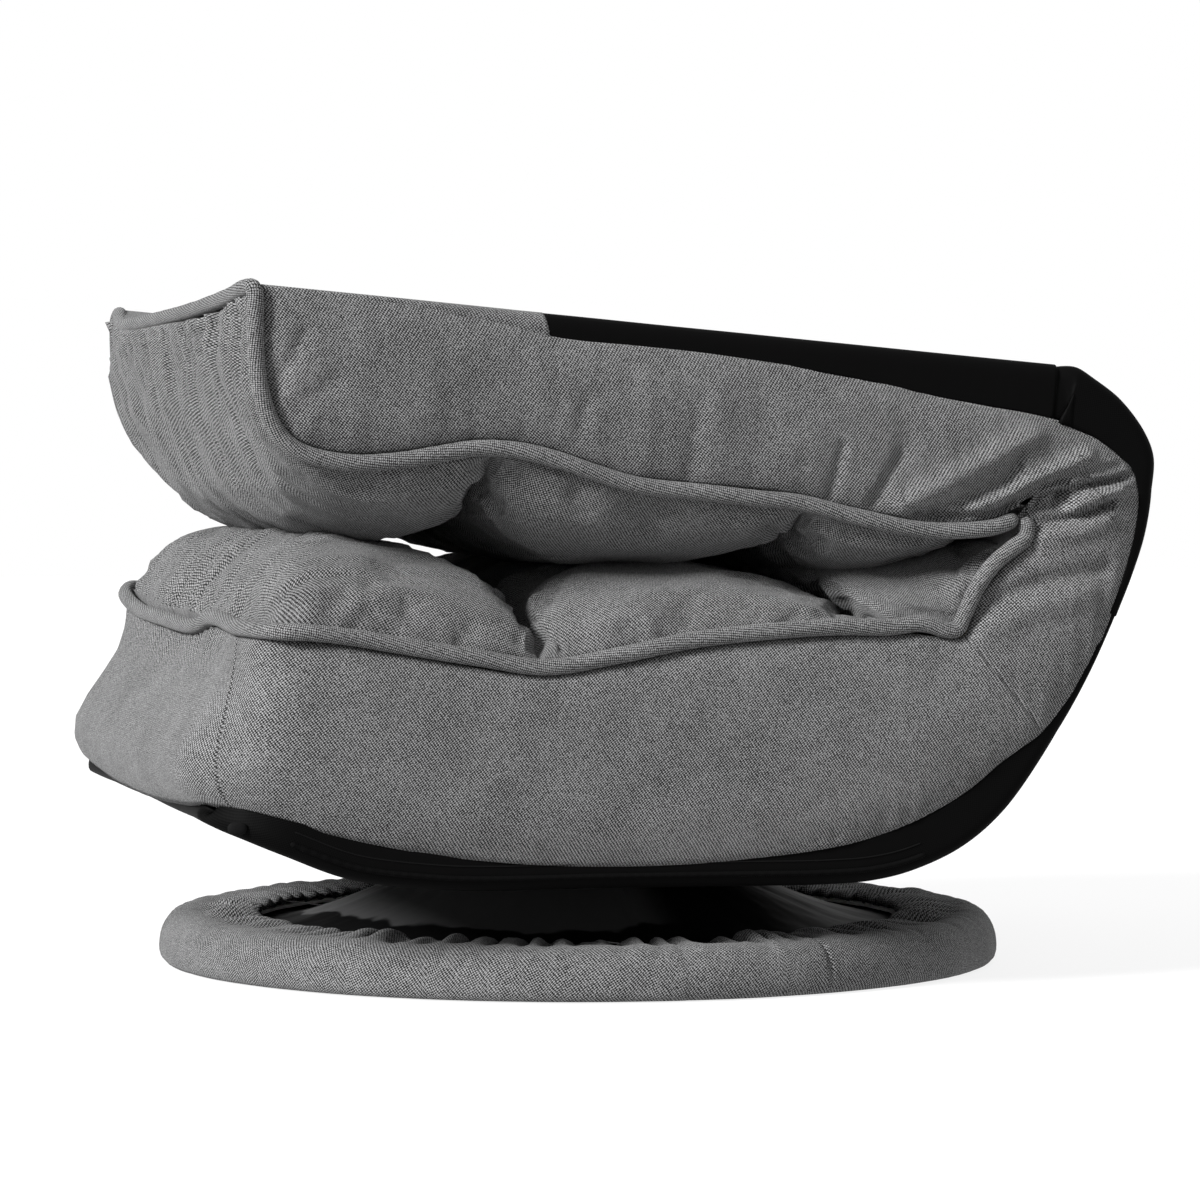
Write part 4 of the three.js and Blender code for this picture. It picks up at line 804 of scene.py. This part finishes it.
# Seat pad: a foam filled linen top, sewn down in two channels across it, its crowns rising
# between them and its edges sewn into the piping. Each row has y and z of its seam and its crown.
SEAT_ROWS = [(-247, 216, -247, 219), (-244, 216, -243, 238), (-236, 215, -226, 259),
             (-202, 212, -194, 269.8), (-160, 207, -160, 264.6), (-128, 202, -127, 256.5),
             (-108, 199, -104, 247), (-96, 197, -93, 236), (-90, 196, -87.5, 222),
             (-86, 195.5, -85, 203), (-82, 195, -83, 222), (-77, 194.5, -79, 235),
             (-68, 194, -69, 244.5), (-52, 196, -54, 249), (-25, 204, -28, 252), (10, 209, 8, 253),
             (40, 213, 38, 251.5), (62, 215, 62, 248), (80, 215.5, 80, 241), (94, 216, 95, 232.5),
             (106, 216, 107, 224.5), (117, 216, 115, 219.5), (122, 216, 111, 227),
             (128, 216, 99, 237.5), (134, 216.3, 91, 244), (140, 216.6, 95, 249.5),
             (148, 217, 112, 252), (156, 216.3, 130, 254.5), (164, 219, 150, 258.5),
             (172, 231, 167, 263), (184, 247, 182, 266), (196, 260.5, 196, 267.5)]
SEAT_VALLEYS = [(-85, 203), (115, 219.5)]
# A tuck in each side of the rear crown, where its cloth is pulled into the second channel.
FACET = [(82, 241), (111, 237), (126, 232), (138, 226), (162, 222)]
PAD_HALF = 256.5


def arc_shares(half, tall=42.0, power=7, count=216):
    """Shares s across a pad, evenly spaced along its section x = half s, z = tall (1 - |s|^power)^0.5."""
    s = np.sin(np.linspace(-np.pi / 2, np.pi / 2, 4001))
    length = gone(np.stack([s * half, tall * np.sqrt(np.maximum(1 - np.abs(s) ** power, 0))], axis=1))
    return np.interp(np.linspace(0, length[-1], count), length, s)


def pad_faces(name, rows, half_at, power, valleys, seed):
    """Upper face of a tufted pad, and the face under it. Each row runs from the seam at one side to
    the seam at the other; its height over the seams is the crown's times (1 - |s|^power)^0.5, with
    the power of that row. Rows lie close together in the valleys, and the cloth puckers there. It
    gives the face, the face under it, lengths along it, s and the flat cloth's own coordinates."""
    flat = np.array(rows, float)
    rough = spline(flat, 3000, 4)
    gone_rough = gone(rough)
    spots = [gone_rough[nearest(rough[:, 2:4], valley)] for valley in valleys]
    line = spline(flat, seam_shares(gone_rough[-1], spots, 150, 2.4, 46.0), 4)
    seam, rise = line[:, None, 0:2], (line[:, 2:4] - line[:, 0:2])[:, None]
    half = half_at(line[:, :1])
    s = arc_shares(half.max())[None]
    full = np.sqrt(np.maximum(1 - np.abs(s) ** np.interp(line[:, :1], *power), 0))
    x = s * half
    y, z = np.moveaxis(seam + rise * full[..., None], 2, 0)
    face = surface(x, y, z)
    cut = lengths(face)
    lines = gone(line[:, 2:4])
    way = normals(face)
    if np.sum(way[..., 1:] * rise) < 0:
        way = -way
    face = settle(name, face, sewn_places(face, valleys))
    away = lines[:, None]
    height = 0.9 * ripple(x / 38, away / 38, seed) + 0.3 * ripple(x / 11, away / 13, seed + 1)
    for number, valley in enumerate(valleys):
        near = np.abs(away - lines[nearest(line[:, 2:4], valley)])
        wave = np.sin(x / 4.6 + 2.6 * ripple(x / 30, away / 60, seed + 5 + number))
        height = height + 1.6 * wave * np.exp(-near / 30) * (1 - np.exp(-near / 16))
    drawn = ripple(away / 6.5, x / 60, seed + 3) * np.exp(-(1 - np.abs(s)) * half / 13)
    face = face + way * ((height + 0.9 * drawn) * ramp(1 - np.abs(s), 0, 0.06))[..., None]
    low_y, low_z = np.moveaxis(seam - rise / np.linalg.norm(rise, axis=2, keepdims=True) * 7, 2, 0)
    return face, surface(x * 0.975, low_y, low_z), lines, s, cut


def settle(name, face, pinned, cap=5.0):
    """Cloth simulation of a pad's upper face: cut 4 percent too large, pinned along its seams and
    filled with air, it settles into creases. Only the creases are kept, no wider than 60 mm and at
    most cap high, so that the pad keeps its outline. They are read off a coarser grid."""
    rows, columns = [np.unique(np.append(np.arange(0, size, step), size - 1))
                     for size, step in zip(face.shape, (2, 3))]
    start = face[np.ix_(rows, columns)]
    n, m = start.shape[:2]
    at = np.arange(n * m).reshape(n, m)
    quads = cells(at)
    if np.sum(normals(start) * (start - start.mean(axis=(0, 1)))) < 0:
        quads = quads[:, ::-1]
    mesh = bpy.data.meshes.new(name)
    mesh.from_pydata(start.reshape(-1, 3) * 0.001, [], quads)
    cloth = added(name, mesh)
    held = cloth.vertex_groups.new(name="sewn")
    held.add(at[pinned[np.ix_(rows, columns)]].tolist(), 1.0, "REPLACE")
    rule = cloth.modifiers.new("cloth", "CLOTH").settings
    rule.quality = 5
    rule.mass = 0.25
    rule.bending_stiffness = 0.35
    rule.vertex_group_mass = "sewn"
    rule.shrink_min = -0.04
    rule.use_pressure = True
    rule.uniform_pressure_force = 0.6
    rule.effector_weights.gravity = 0.0
    for moment in range(1, 17):
        bpy.context.scene.frame_set(moment)
    seen = cloth.evaluated_get(bpy.context.evaluated_depsgraph_get()).data
    places = np.zeros(n * m * 3)
    seen.vertices.foreach_get("co", places)
    moved = places.reshape(n, m, 3) * 1000 - start
    bpy.context.scene.frame_set(1)
    bpy.data.objects.remove(cloth)
    broad = moved
    for _ in range(14):
        padded = np.pad(broad, ((1, 1), (1, 1), (0, 0)), mode="edge")
        broad = (padded[:-2, 1:-1] + padded[2:, 1:-1] + padded[1:-1, :-2] + padded[1:-1, 2:]
                 + 2 * broad) / 6
    crease = moved - broad
    high = np.linalg.norm(crease, axis=2, keepdims=True)
    crease = crease * np.minimum(1, cap / np.maximum(high, 1e-6))
    for axis, known in ((1, columns), (0, rows)):
        crease = np.apply_along_axis(
            lambda values: np.interp(np.arange(face.shape[axis]), known, values), axis, crease)
    return face + crease


def sewn_places(face, valleys):
    """Which places of a pad are sewn down: its four edges and its channels."""
    sewn = np.zeros(face.shape[:2], bool)
    sewn[[0, 1, -2, -1]] = True
    sewn[:, [0, 1, -2, -1]] = True
    for valley in valleys:
        row = nearest(face[:, face.shape[1] // 2, 1:], valley)
        sewn[max(row - 1, 0):row + 2] = True
    return sewn


def gathers_at(x, away, seed, reach):
    """Folds that run away from a gathered seam: sharp valleys between soft ridges, |sin|,
    spaced unevenly, dying out over a reach."""
    turned = x / 6.6 + 3.6 * ripple(x / 34, away / 160, seed)
    fine = x / 2.6 + 2.5 * ripple(x / 21, away / 90, seed + 1)
    folds = np.abs(np.sin(turned)) - 0.6 + 0.25 * np.sin(fine)
    return folds * (1 + 0.8 * ripple(x / 45, away / 200, seed + 2)) * np.exp(-away / reach)


def seat_half(y):
    """Half width of the seat pad, whose front corners have a radius of 33 mm."""
    return PAD_HALF - corner_cut(y + 249, 33)


face, under, lines, s, cut = pad_faces("seat_pad_cloth", SEAT_ROWS, seat_half, ([0, 1], [7, 7]),
                                       SEAT_VALLEYS, 61)
away = lines[:, None]
folds = gathers_at(face[..., 0], away, 71, 75.0) * ramp(1 - np.abs(s), 0, 0.05) * ramp(away, 0, 6)
face[..., 2] += 4.6 * folds * ramp(away, -20, 40)
face[..., 1] -= 4.6 * folds * np.exp(-away / 45)
facet = distance(face[..., 1], face[..., 2], FACET)
groove = 4.5 * hump(facet, 2.2) - 1.5 * hump(facet - 9, 6)
rear = (np.abs(s) > 0.6) & (away > lines[-1] * 0.6)
face[..., 0] -= np.sign(s) * groove * rear
front_lift = np.interp(face[..., 0], *FRONT_HEIGHTS) * np.exp(-away / 45)
face[..., 2] += front_lift
under[..., 2] += front_lift
seat_pad = walled("seat_pad_cover", face, under, False, cut)
dress(seat_pad, heather, "seat", "grey_linen", "seat_pad")


# Seat foam: one block of foam under the pad, cut to the curve of the bottom and set 10 mm or more
# in from the covers.
def block(name, top, bottom, body):
    """Foam between an upper and a lower line in the YZ plane, 488 mm wide."""
    x = np.linspace(-244, 244, 24)[None]
    made = walled(name, *[surface(x, line[:, :1], line[:, 1:]) for line in (top, bottom)])
    dress(made, pale_foam, body, "foam", f"{body}_foam")


core_low = (seat_skin + seat_in * 10)[28:238]
core_top = spline([(-243, 206), (-205, 203), (-150, 196), (-84, 185), (-30, 193), (60, 205), (120, 206),
                   (150, 205), (163, 212), (173, 234), (186, 250), (205, 258)], 210, 2)
block("seat_foam_block", core_top, core_low, "seat")

# Seat piping: a cord wrapped in bias cut linen, sewn in round the top edge of the seat. It runs
# lower at the near, left corner than at the far one, which is pulled up.
PIPE = 4.9
PIPE_X = 262.6


def piping(name, path, count, seed, body):
    """Cord of PIPE's radius, uneven by 0.15 mm, through the given places."""
    radius = PIPE + 0.15 * ripple(np.arange(count) / 5.0, 0, seed)
    cord = rod(name, spline(path, count), radius, 16, 45)
    dress(cord, heather, body, "grey_linen", f"{body}_piping")


near = np.insert(np.array(SEAT_PIPE), 0, PIPE_X, axis=1)
cross = [(259, -236, 217), (248, -246, 217.5), (230, -252, 218), (203, -254, 218), (155, -255, 221),
         (118, -255, 220), (90, -255, 216), (50, -255, 213), (0, -255, 213), (-50, -255, 214),
         (-90, -255, 214.5), (-150, -255, 216), (-200, -255, 221), (-228, -253, 225),
         (-248, -246, 228), (-259, -236, 227), (-262.6, -222, 224)]
far = near[::-1][1:] * [-1, 1, 1]
far[0, 2] += 4
piping("seat_piping_cord", np.concatenate([near, cross, far]), 760, 77, "seat")

# Back outer lining and head cover: black cloth over the back of the backrest, and a grey linen
# piece over its free end, which dips a little between its corners.
SLOPE = 0.0903
DIP = 11


def back_line(start, end, count):
    """The back's outer face in the YZ plane: z is 370 at y 235 and rises by SLOPE towards the front."""
    y = np.linspace(start, end, count)
    return np.stack([y, 370 + (235 - y) * SLOPE], axis=1)


def dipped(places):
    """Lowers the middle of the head cover towards its free end, and slants its flanges' rear ends."""
    x, y, z = np.moveaxis(places, 2, 0)
    below = np.clip(370 + (235 - y) * SLOPE - z, 0, 30)
    drop = DIP * ramp(y, -120, -250) ** 1.5 * np.clip(1 - (np.abs(x) / SEAM_X) ** 5, 0, 1)
    return surface(x, y + 0.32 * below * ramp(y, -124, -84) * (np.abs(x) > 250), z - drop)


black_run = back_line(227, -84, 130)
inward = 0 * black_run - np.array([SLOPE, 1]) / math.hypot(SLOPE, 1)
flange = flange_along(black_run, inward, 5, 36, 4)
back_lining = walled("back_outer_lining", *tray(black_run, inward, flange + 1.5, LINING_HALF, 0.6, 81))
dress(back_lining, black_cloth, "back", "black_lining", "back_lining")

grey_run = back_line(-84.4, -253, 80)
flange = flange_along(grey_run, inward[:80], 2.5, 36, 0)
outer, inner = tray(grey_run, inward[:80], flange + 1.0, LINING_HALF + 0.3, 0.0, 83)
head = walled("back_head_cover", dipped(outer), dipped(inner), False, lengths(outer))
dress(head, heather, "back", "grey_linen", "back_head_patch")

# Back side covers: linen over thin foam between the piping and the lining, one on each side. Each
# station has y and z of the upper and of the lower edge.
BACK_STATIONS = [
    (236.5, 335.5, 237, 318), (232, 336, 235.5, 309), (224, 338, 230, 299), (215, 340, 220, 293),
    (205, 342, 209, 291), (196, 343.5, 202, 287), (186, 345, 195, 283), (172, 347.5, 185, 279.5),
    (150, 351.5, 162, 277.5), (128, 357, 137, 279), (96, 364, 101, 286), (55, 370, 60, 295),
    (6, 376.5, 5, 300.5), (-30, 380, -31, 304.5), (-77, 384.5, -76, 319), (-112, 393, -102, 324.5),
    (-140, 398.5, -125, 325.5), (-165, 403, -150, 322), (-190, 407, -173, 318.5),
    (-208, 409.5, -200, 317.5), (-222, 411, -220, 321.5), (-232, 412, -233, 329),
    (-240, 412.5, -241.5, 341), (-246, 413, -247, 360), (-249, 413.3, -249.5, 385),
    (-250, 413.6, -250, 407),
]


def pair(name, x, y, z, wall, cut=None):
    """The same cloth at the left, +X, and at the right, its hand added to its name."""
    return [panel(f"{name}_{hand}", surface(side * x, y, z), wall, (0, *HINGE), cut)
            for hand, side in (("left", 1), ("right", -1))]


back_run = spline(BACK_STATIONS, 330, 4)
low, top = back_run[:, None, 2:4], back_run[:, None, 0:2]
y, z = np.moveaxis(low + (top - low) * np.linspace(0, 1, 44)[:, None], 2, 0)
for cover in pair("back_side_cover", SEAM_X + side_bulge(y, z), y, z, COVER_WALL, np.stack([y, z], 2) * 0.01):
    dress(cover, heather, "back", "grey_linen", cover.name.replace("cover", "panel"))

# Back pad: three stuffed crowns sewn down in two channels. The last one wraps round the free end,
# where its cloth is gathered into the piping.
BACK_ROWS = [(188, 279, 188, 273), (150, 275, 150, 253), (118, 277.5, 116, 246.5), (98, 282, 97, 248),
             (88, 284, 84, 254.5), (80, 286, 76, 264), (76, 287, 74.5, 274), (74, 287, 73.5, 283),
             (72, 287, 72, 274), (66, 288, 67, 266), (52, 291, 53, 259), (28, 293, 30, 254.5),
             (-8, 296, -8, 253.5), (-40, 301, -44, 254.5), (-68, 309, -74, 258.5),
             (-88, 316, -93, 265), (-98, 319, -106, 275), (-105, 320, -113, 288),
             (-109, 320.5, -114, 302), (-112, 320.5, -113.5, 313), (-115, 320.5, -116.5, 302),
             (-119, 320.5, -121, 290), (-127, 320, -129, 277), (-140, 318.5, -142, 270.5),
             (-160, 315.5, -161, 268), (-185, 313, -184, 268.5), (-204, 313.5, -203, 274),
             (-220, 316.5, -218, 284), (-234, 324, -233, 298), (-244, 336, -248, 317),
             (-250, 352, -258, 341), (-253, 375, -262, 364), (-254, 393, -264, 391),
             (-256, 409, -262, 407.5)]
BACK_VALLEYS = [(73.5, 283), (-113.5, 313)]


def back_half(y):
    """Half width of the back pad, the same all along."""
    return PAD_HALF + 0 * y


face, under, lines, s, cut = pad_faces("back_pad_cloth", BACK_ROWS, back_half,
                                       ([-254, -215, -150], [2.8, 3.6, 7]), BACK_VALLEYS, 91)
away = (lines[-1] - lines)[:, None]
folds = gathers_at(face[..., 0], away, 95, 170.0) * ramp(1 - np.abs(s), 0, 0.05)
folds = folds * ramp(face[..., 1], -150, -210)
face[..., 1] -= 7.0 * folds * np.clip((face[..., 2] - 270) / 40, 0.2, 1)
face[..., 2] -= 2.0 * folds * ramp(face[..., 2], 320, 280)
drop = DIP * ramp(away, 60, 0) ** 1.5 * np.clip(1 - (np.abs(face[..., 0]) / SEAM_X) ** 5, 0, 1)
face[..., 2] -= drop
under[..., 2] -= drop
back_pad = walled("back_pad_cover", face, under, False, cut)
dress(back_pad, heather, "back", "grey_linen", "back_pad")

# Back foam: one block between the pad and the lining, set 9 mm or more in from the covers. Its
# upper face dips towards the free end with the head cover.
core_low = spline([(190, 288), (150, 286), (100, 293), (60, 300), (0, 307), (-60, 320), (-104, 331),
                   (-150, 328), (-200, 325), (-222, 331), (-236, 348), (-242, 375)], 160, 2)
core_top = back_line(214, -243, 160)
core_top[:, 1] -= 9 + DIP * ramp(core_top[:, 0], -120, -250)
block("back_foam_block", core_top, core_low, "back")

# Back piping: the same cord as on the seat, up both side edges of the back and across its free
# end, where it stands up at both corners.
near = np.insert(np.array(BACK_PIPE), 0, PIPE_X, axis=1)
cross = [(261, -254, 411.5), (251, -257, 411.5), (225, -258.5, 409), (103, -259.5, 404),
         (-52, -259.5, 401.5), (-185, -258, 401), (-228, -256, 404), (-250, -253, 409.5),
         (-261, -252, 410.5)]
piping("back_piping_cord", np.concatenate([near, cross, near[::-1] * [-1, 1, 1]]), 860, 78, "back")

# Hinge wrap: black cloth round the outside of the hinge, from the seat's lining to the back's, its
# end tucked under the latter.
WRAP = [(264.0, 221.5), (275.4, 249), (282.5, 269.3), (287.5, 296), (288.8, 316), (283, 331), (268, 350),
        (252, 362), (240, 369.2), (232, 369.8), (222, 368.4), (206, 369.6)]


def bends(piece):
    """Bakes a piece's placing into its mesh; the piece doesn't bend between the seat and the back."""
    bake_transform(piece)


wrap_line = spline(WRAP, 90, 2)
wrap_in = left_of(wrap_line)
tucked = 2 * ramp(wrap_line[:, 0], 240, 228) * (wrap_line[:, 1] > 330)
flange = flange_along(wrap_line, wrap_in, 4, 36, 3) + 1.5 - tucked
wrap_width = LINING_HALF + 1.3 - tucked
hinge_wrap = walled("hinge_wrap_cloth", *tray(wrap_line, wrap_in, flange, wrap_width, 0.3, 101))
dress(hinge_wrap, black_cloth, None, "black_lining", "hinge_wrap")
bends(hinge_wrap)

# Hinge rear gussets: a fan of grey linen on each side, from the hinge's pin out to the wrap's
# flange, that goes on where the side covers of the seat and the back end.
polar = np.radians(np.linspace(-61, 92, 150))[:, None]
ray = np.concatenate([np.cos(polar), np.sin(polar)], axis=1)
rim = depth_to(edge_line, HINGE + 0 * ray, ray, 90)[:, None]
y, z = HINGE[:, None, None] + ray.T[..., None] * rim * np.linspace(0.012, 1, 44)
gussets = pair("hinge_rear_gusset", SEAM_X + side_bulge(y, z), y, z, COVER_WALL, np.stack([y, z], 2) * 0.01)
for gusset in gussets:
    dress(gusset, heather, None, "grey_linen")
    bends(gusset)

# Hinge crease: the strip of linen between the two sitting faces. It goes deep towards the hinge in
# the middle and stays shallow over the steel at both sides, so that it opens into a valley.
SHALLOW = [(194, 261), (203, 269), (210, 279), (212.5, 286), (206, 288), (196, 283.5), (187, 277)]
DEEP = [(194, 261), (203, 269), (211, 279), (219, 290), (229, 304), (231, 308), (227, 308), (216, 297),
        (206, 288), (196, 283.5), (187, 277)]
shallow, deep = spline(SHALLOW, 70, 2)[:, None], spline(DEEP, 70, 2)[:, None]
x = np.linspace(-254, 254, 150)[None]
middle_part = ramp(np.abs(x), 194, 164)[..., None]
middle_part = middle_part**2 * (3 - 2 * middle_part)
y, z = np.moveaxis(shallow + (deep - shallow) * middle_part, 2, 0)
pinch = 0.7 * 0.8 * ripple(x / 22, np.arange(70)[:, None] / 10.0, 111)
crease = panel("hinge_front_crease", surface(x, y - pinch, z + pinch), 1.0, (0, 150, 270))
dress(crease, heather, None, "grey_linen", "hinge_gusset")
bends(crease)

# Hinge side folds: on each side a narrow web of linen between the two side covers, from the pin to
# the piping.
FOLD_WAY = math.radians(229)
outward = np.array([math.cos(FOLD_WAY), math.sin(FOLD_WAY)])
across = np.array([math.sin(FOLD_WAY), -math.cos(FOLD_WAY)])
far, wide = np.linspace(4, 52, 30)[:, None, None], np.linspace(-1.5, 1.5, 24)[:, None]
y, z = np.moveaxis(HINGE + far * outward + wide * across, 2, 0)
for web in pair("hinge_side_fold", 257, y, z, 1.2):
    dress(web, heather, None, "grey_linen")
    bends(web)

# The studio floor: a wide pale board, lit from within like a light table, because the photograph's
# ground is plain white. It isn't part of the chair.
floor_mesh = bpy.data.meshes.new("floor")
floor_mesh.from_pydata([(-9, -9, 0), (9, -9, 0), (9, 9, 0), (-9, 9, 0)], [], [(0, 1, 2, 3)])
floor = added("floor", floor_mesh)
board = Finish("pale_board")
fibre = board.noise(board.place(), 300.0, 3.0)
floor.data.materials.append(board.wear(
    Base_Color=board.mixed(fibre, grey(0.12), grey(0.14)), Roughness=0.9, Specular_IOR_Level=0.1,
    Emission_Color=(1, 1, 1, 1), Emission_Strength=0.82))
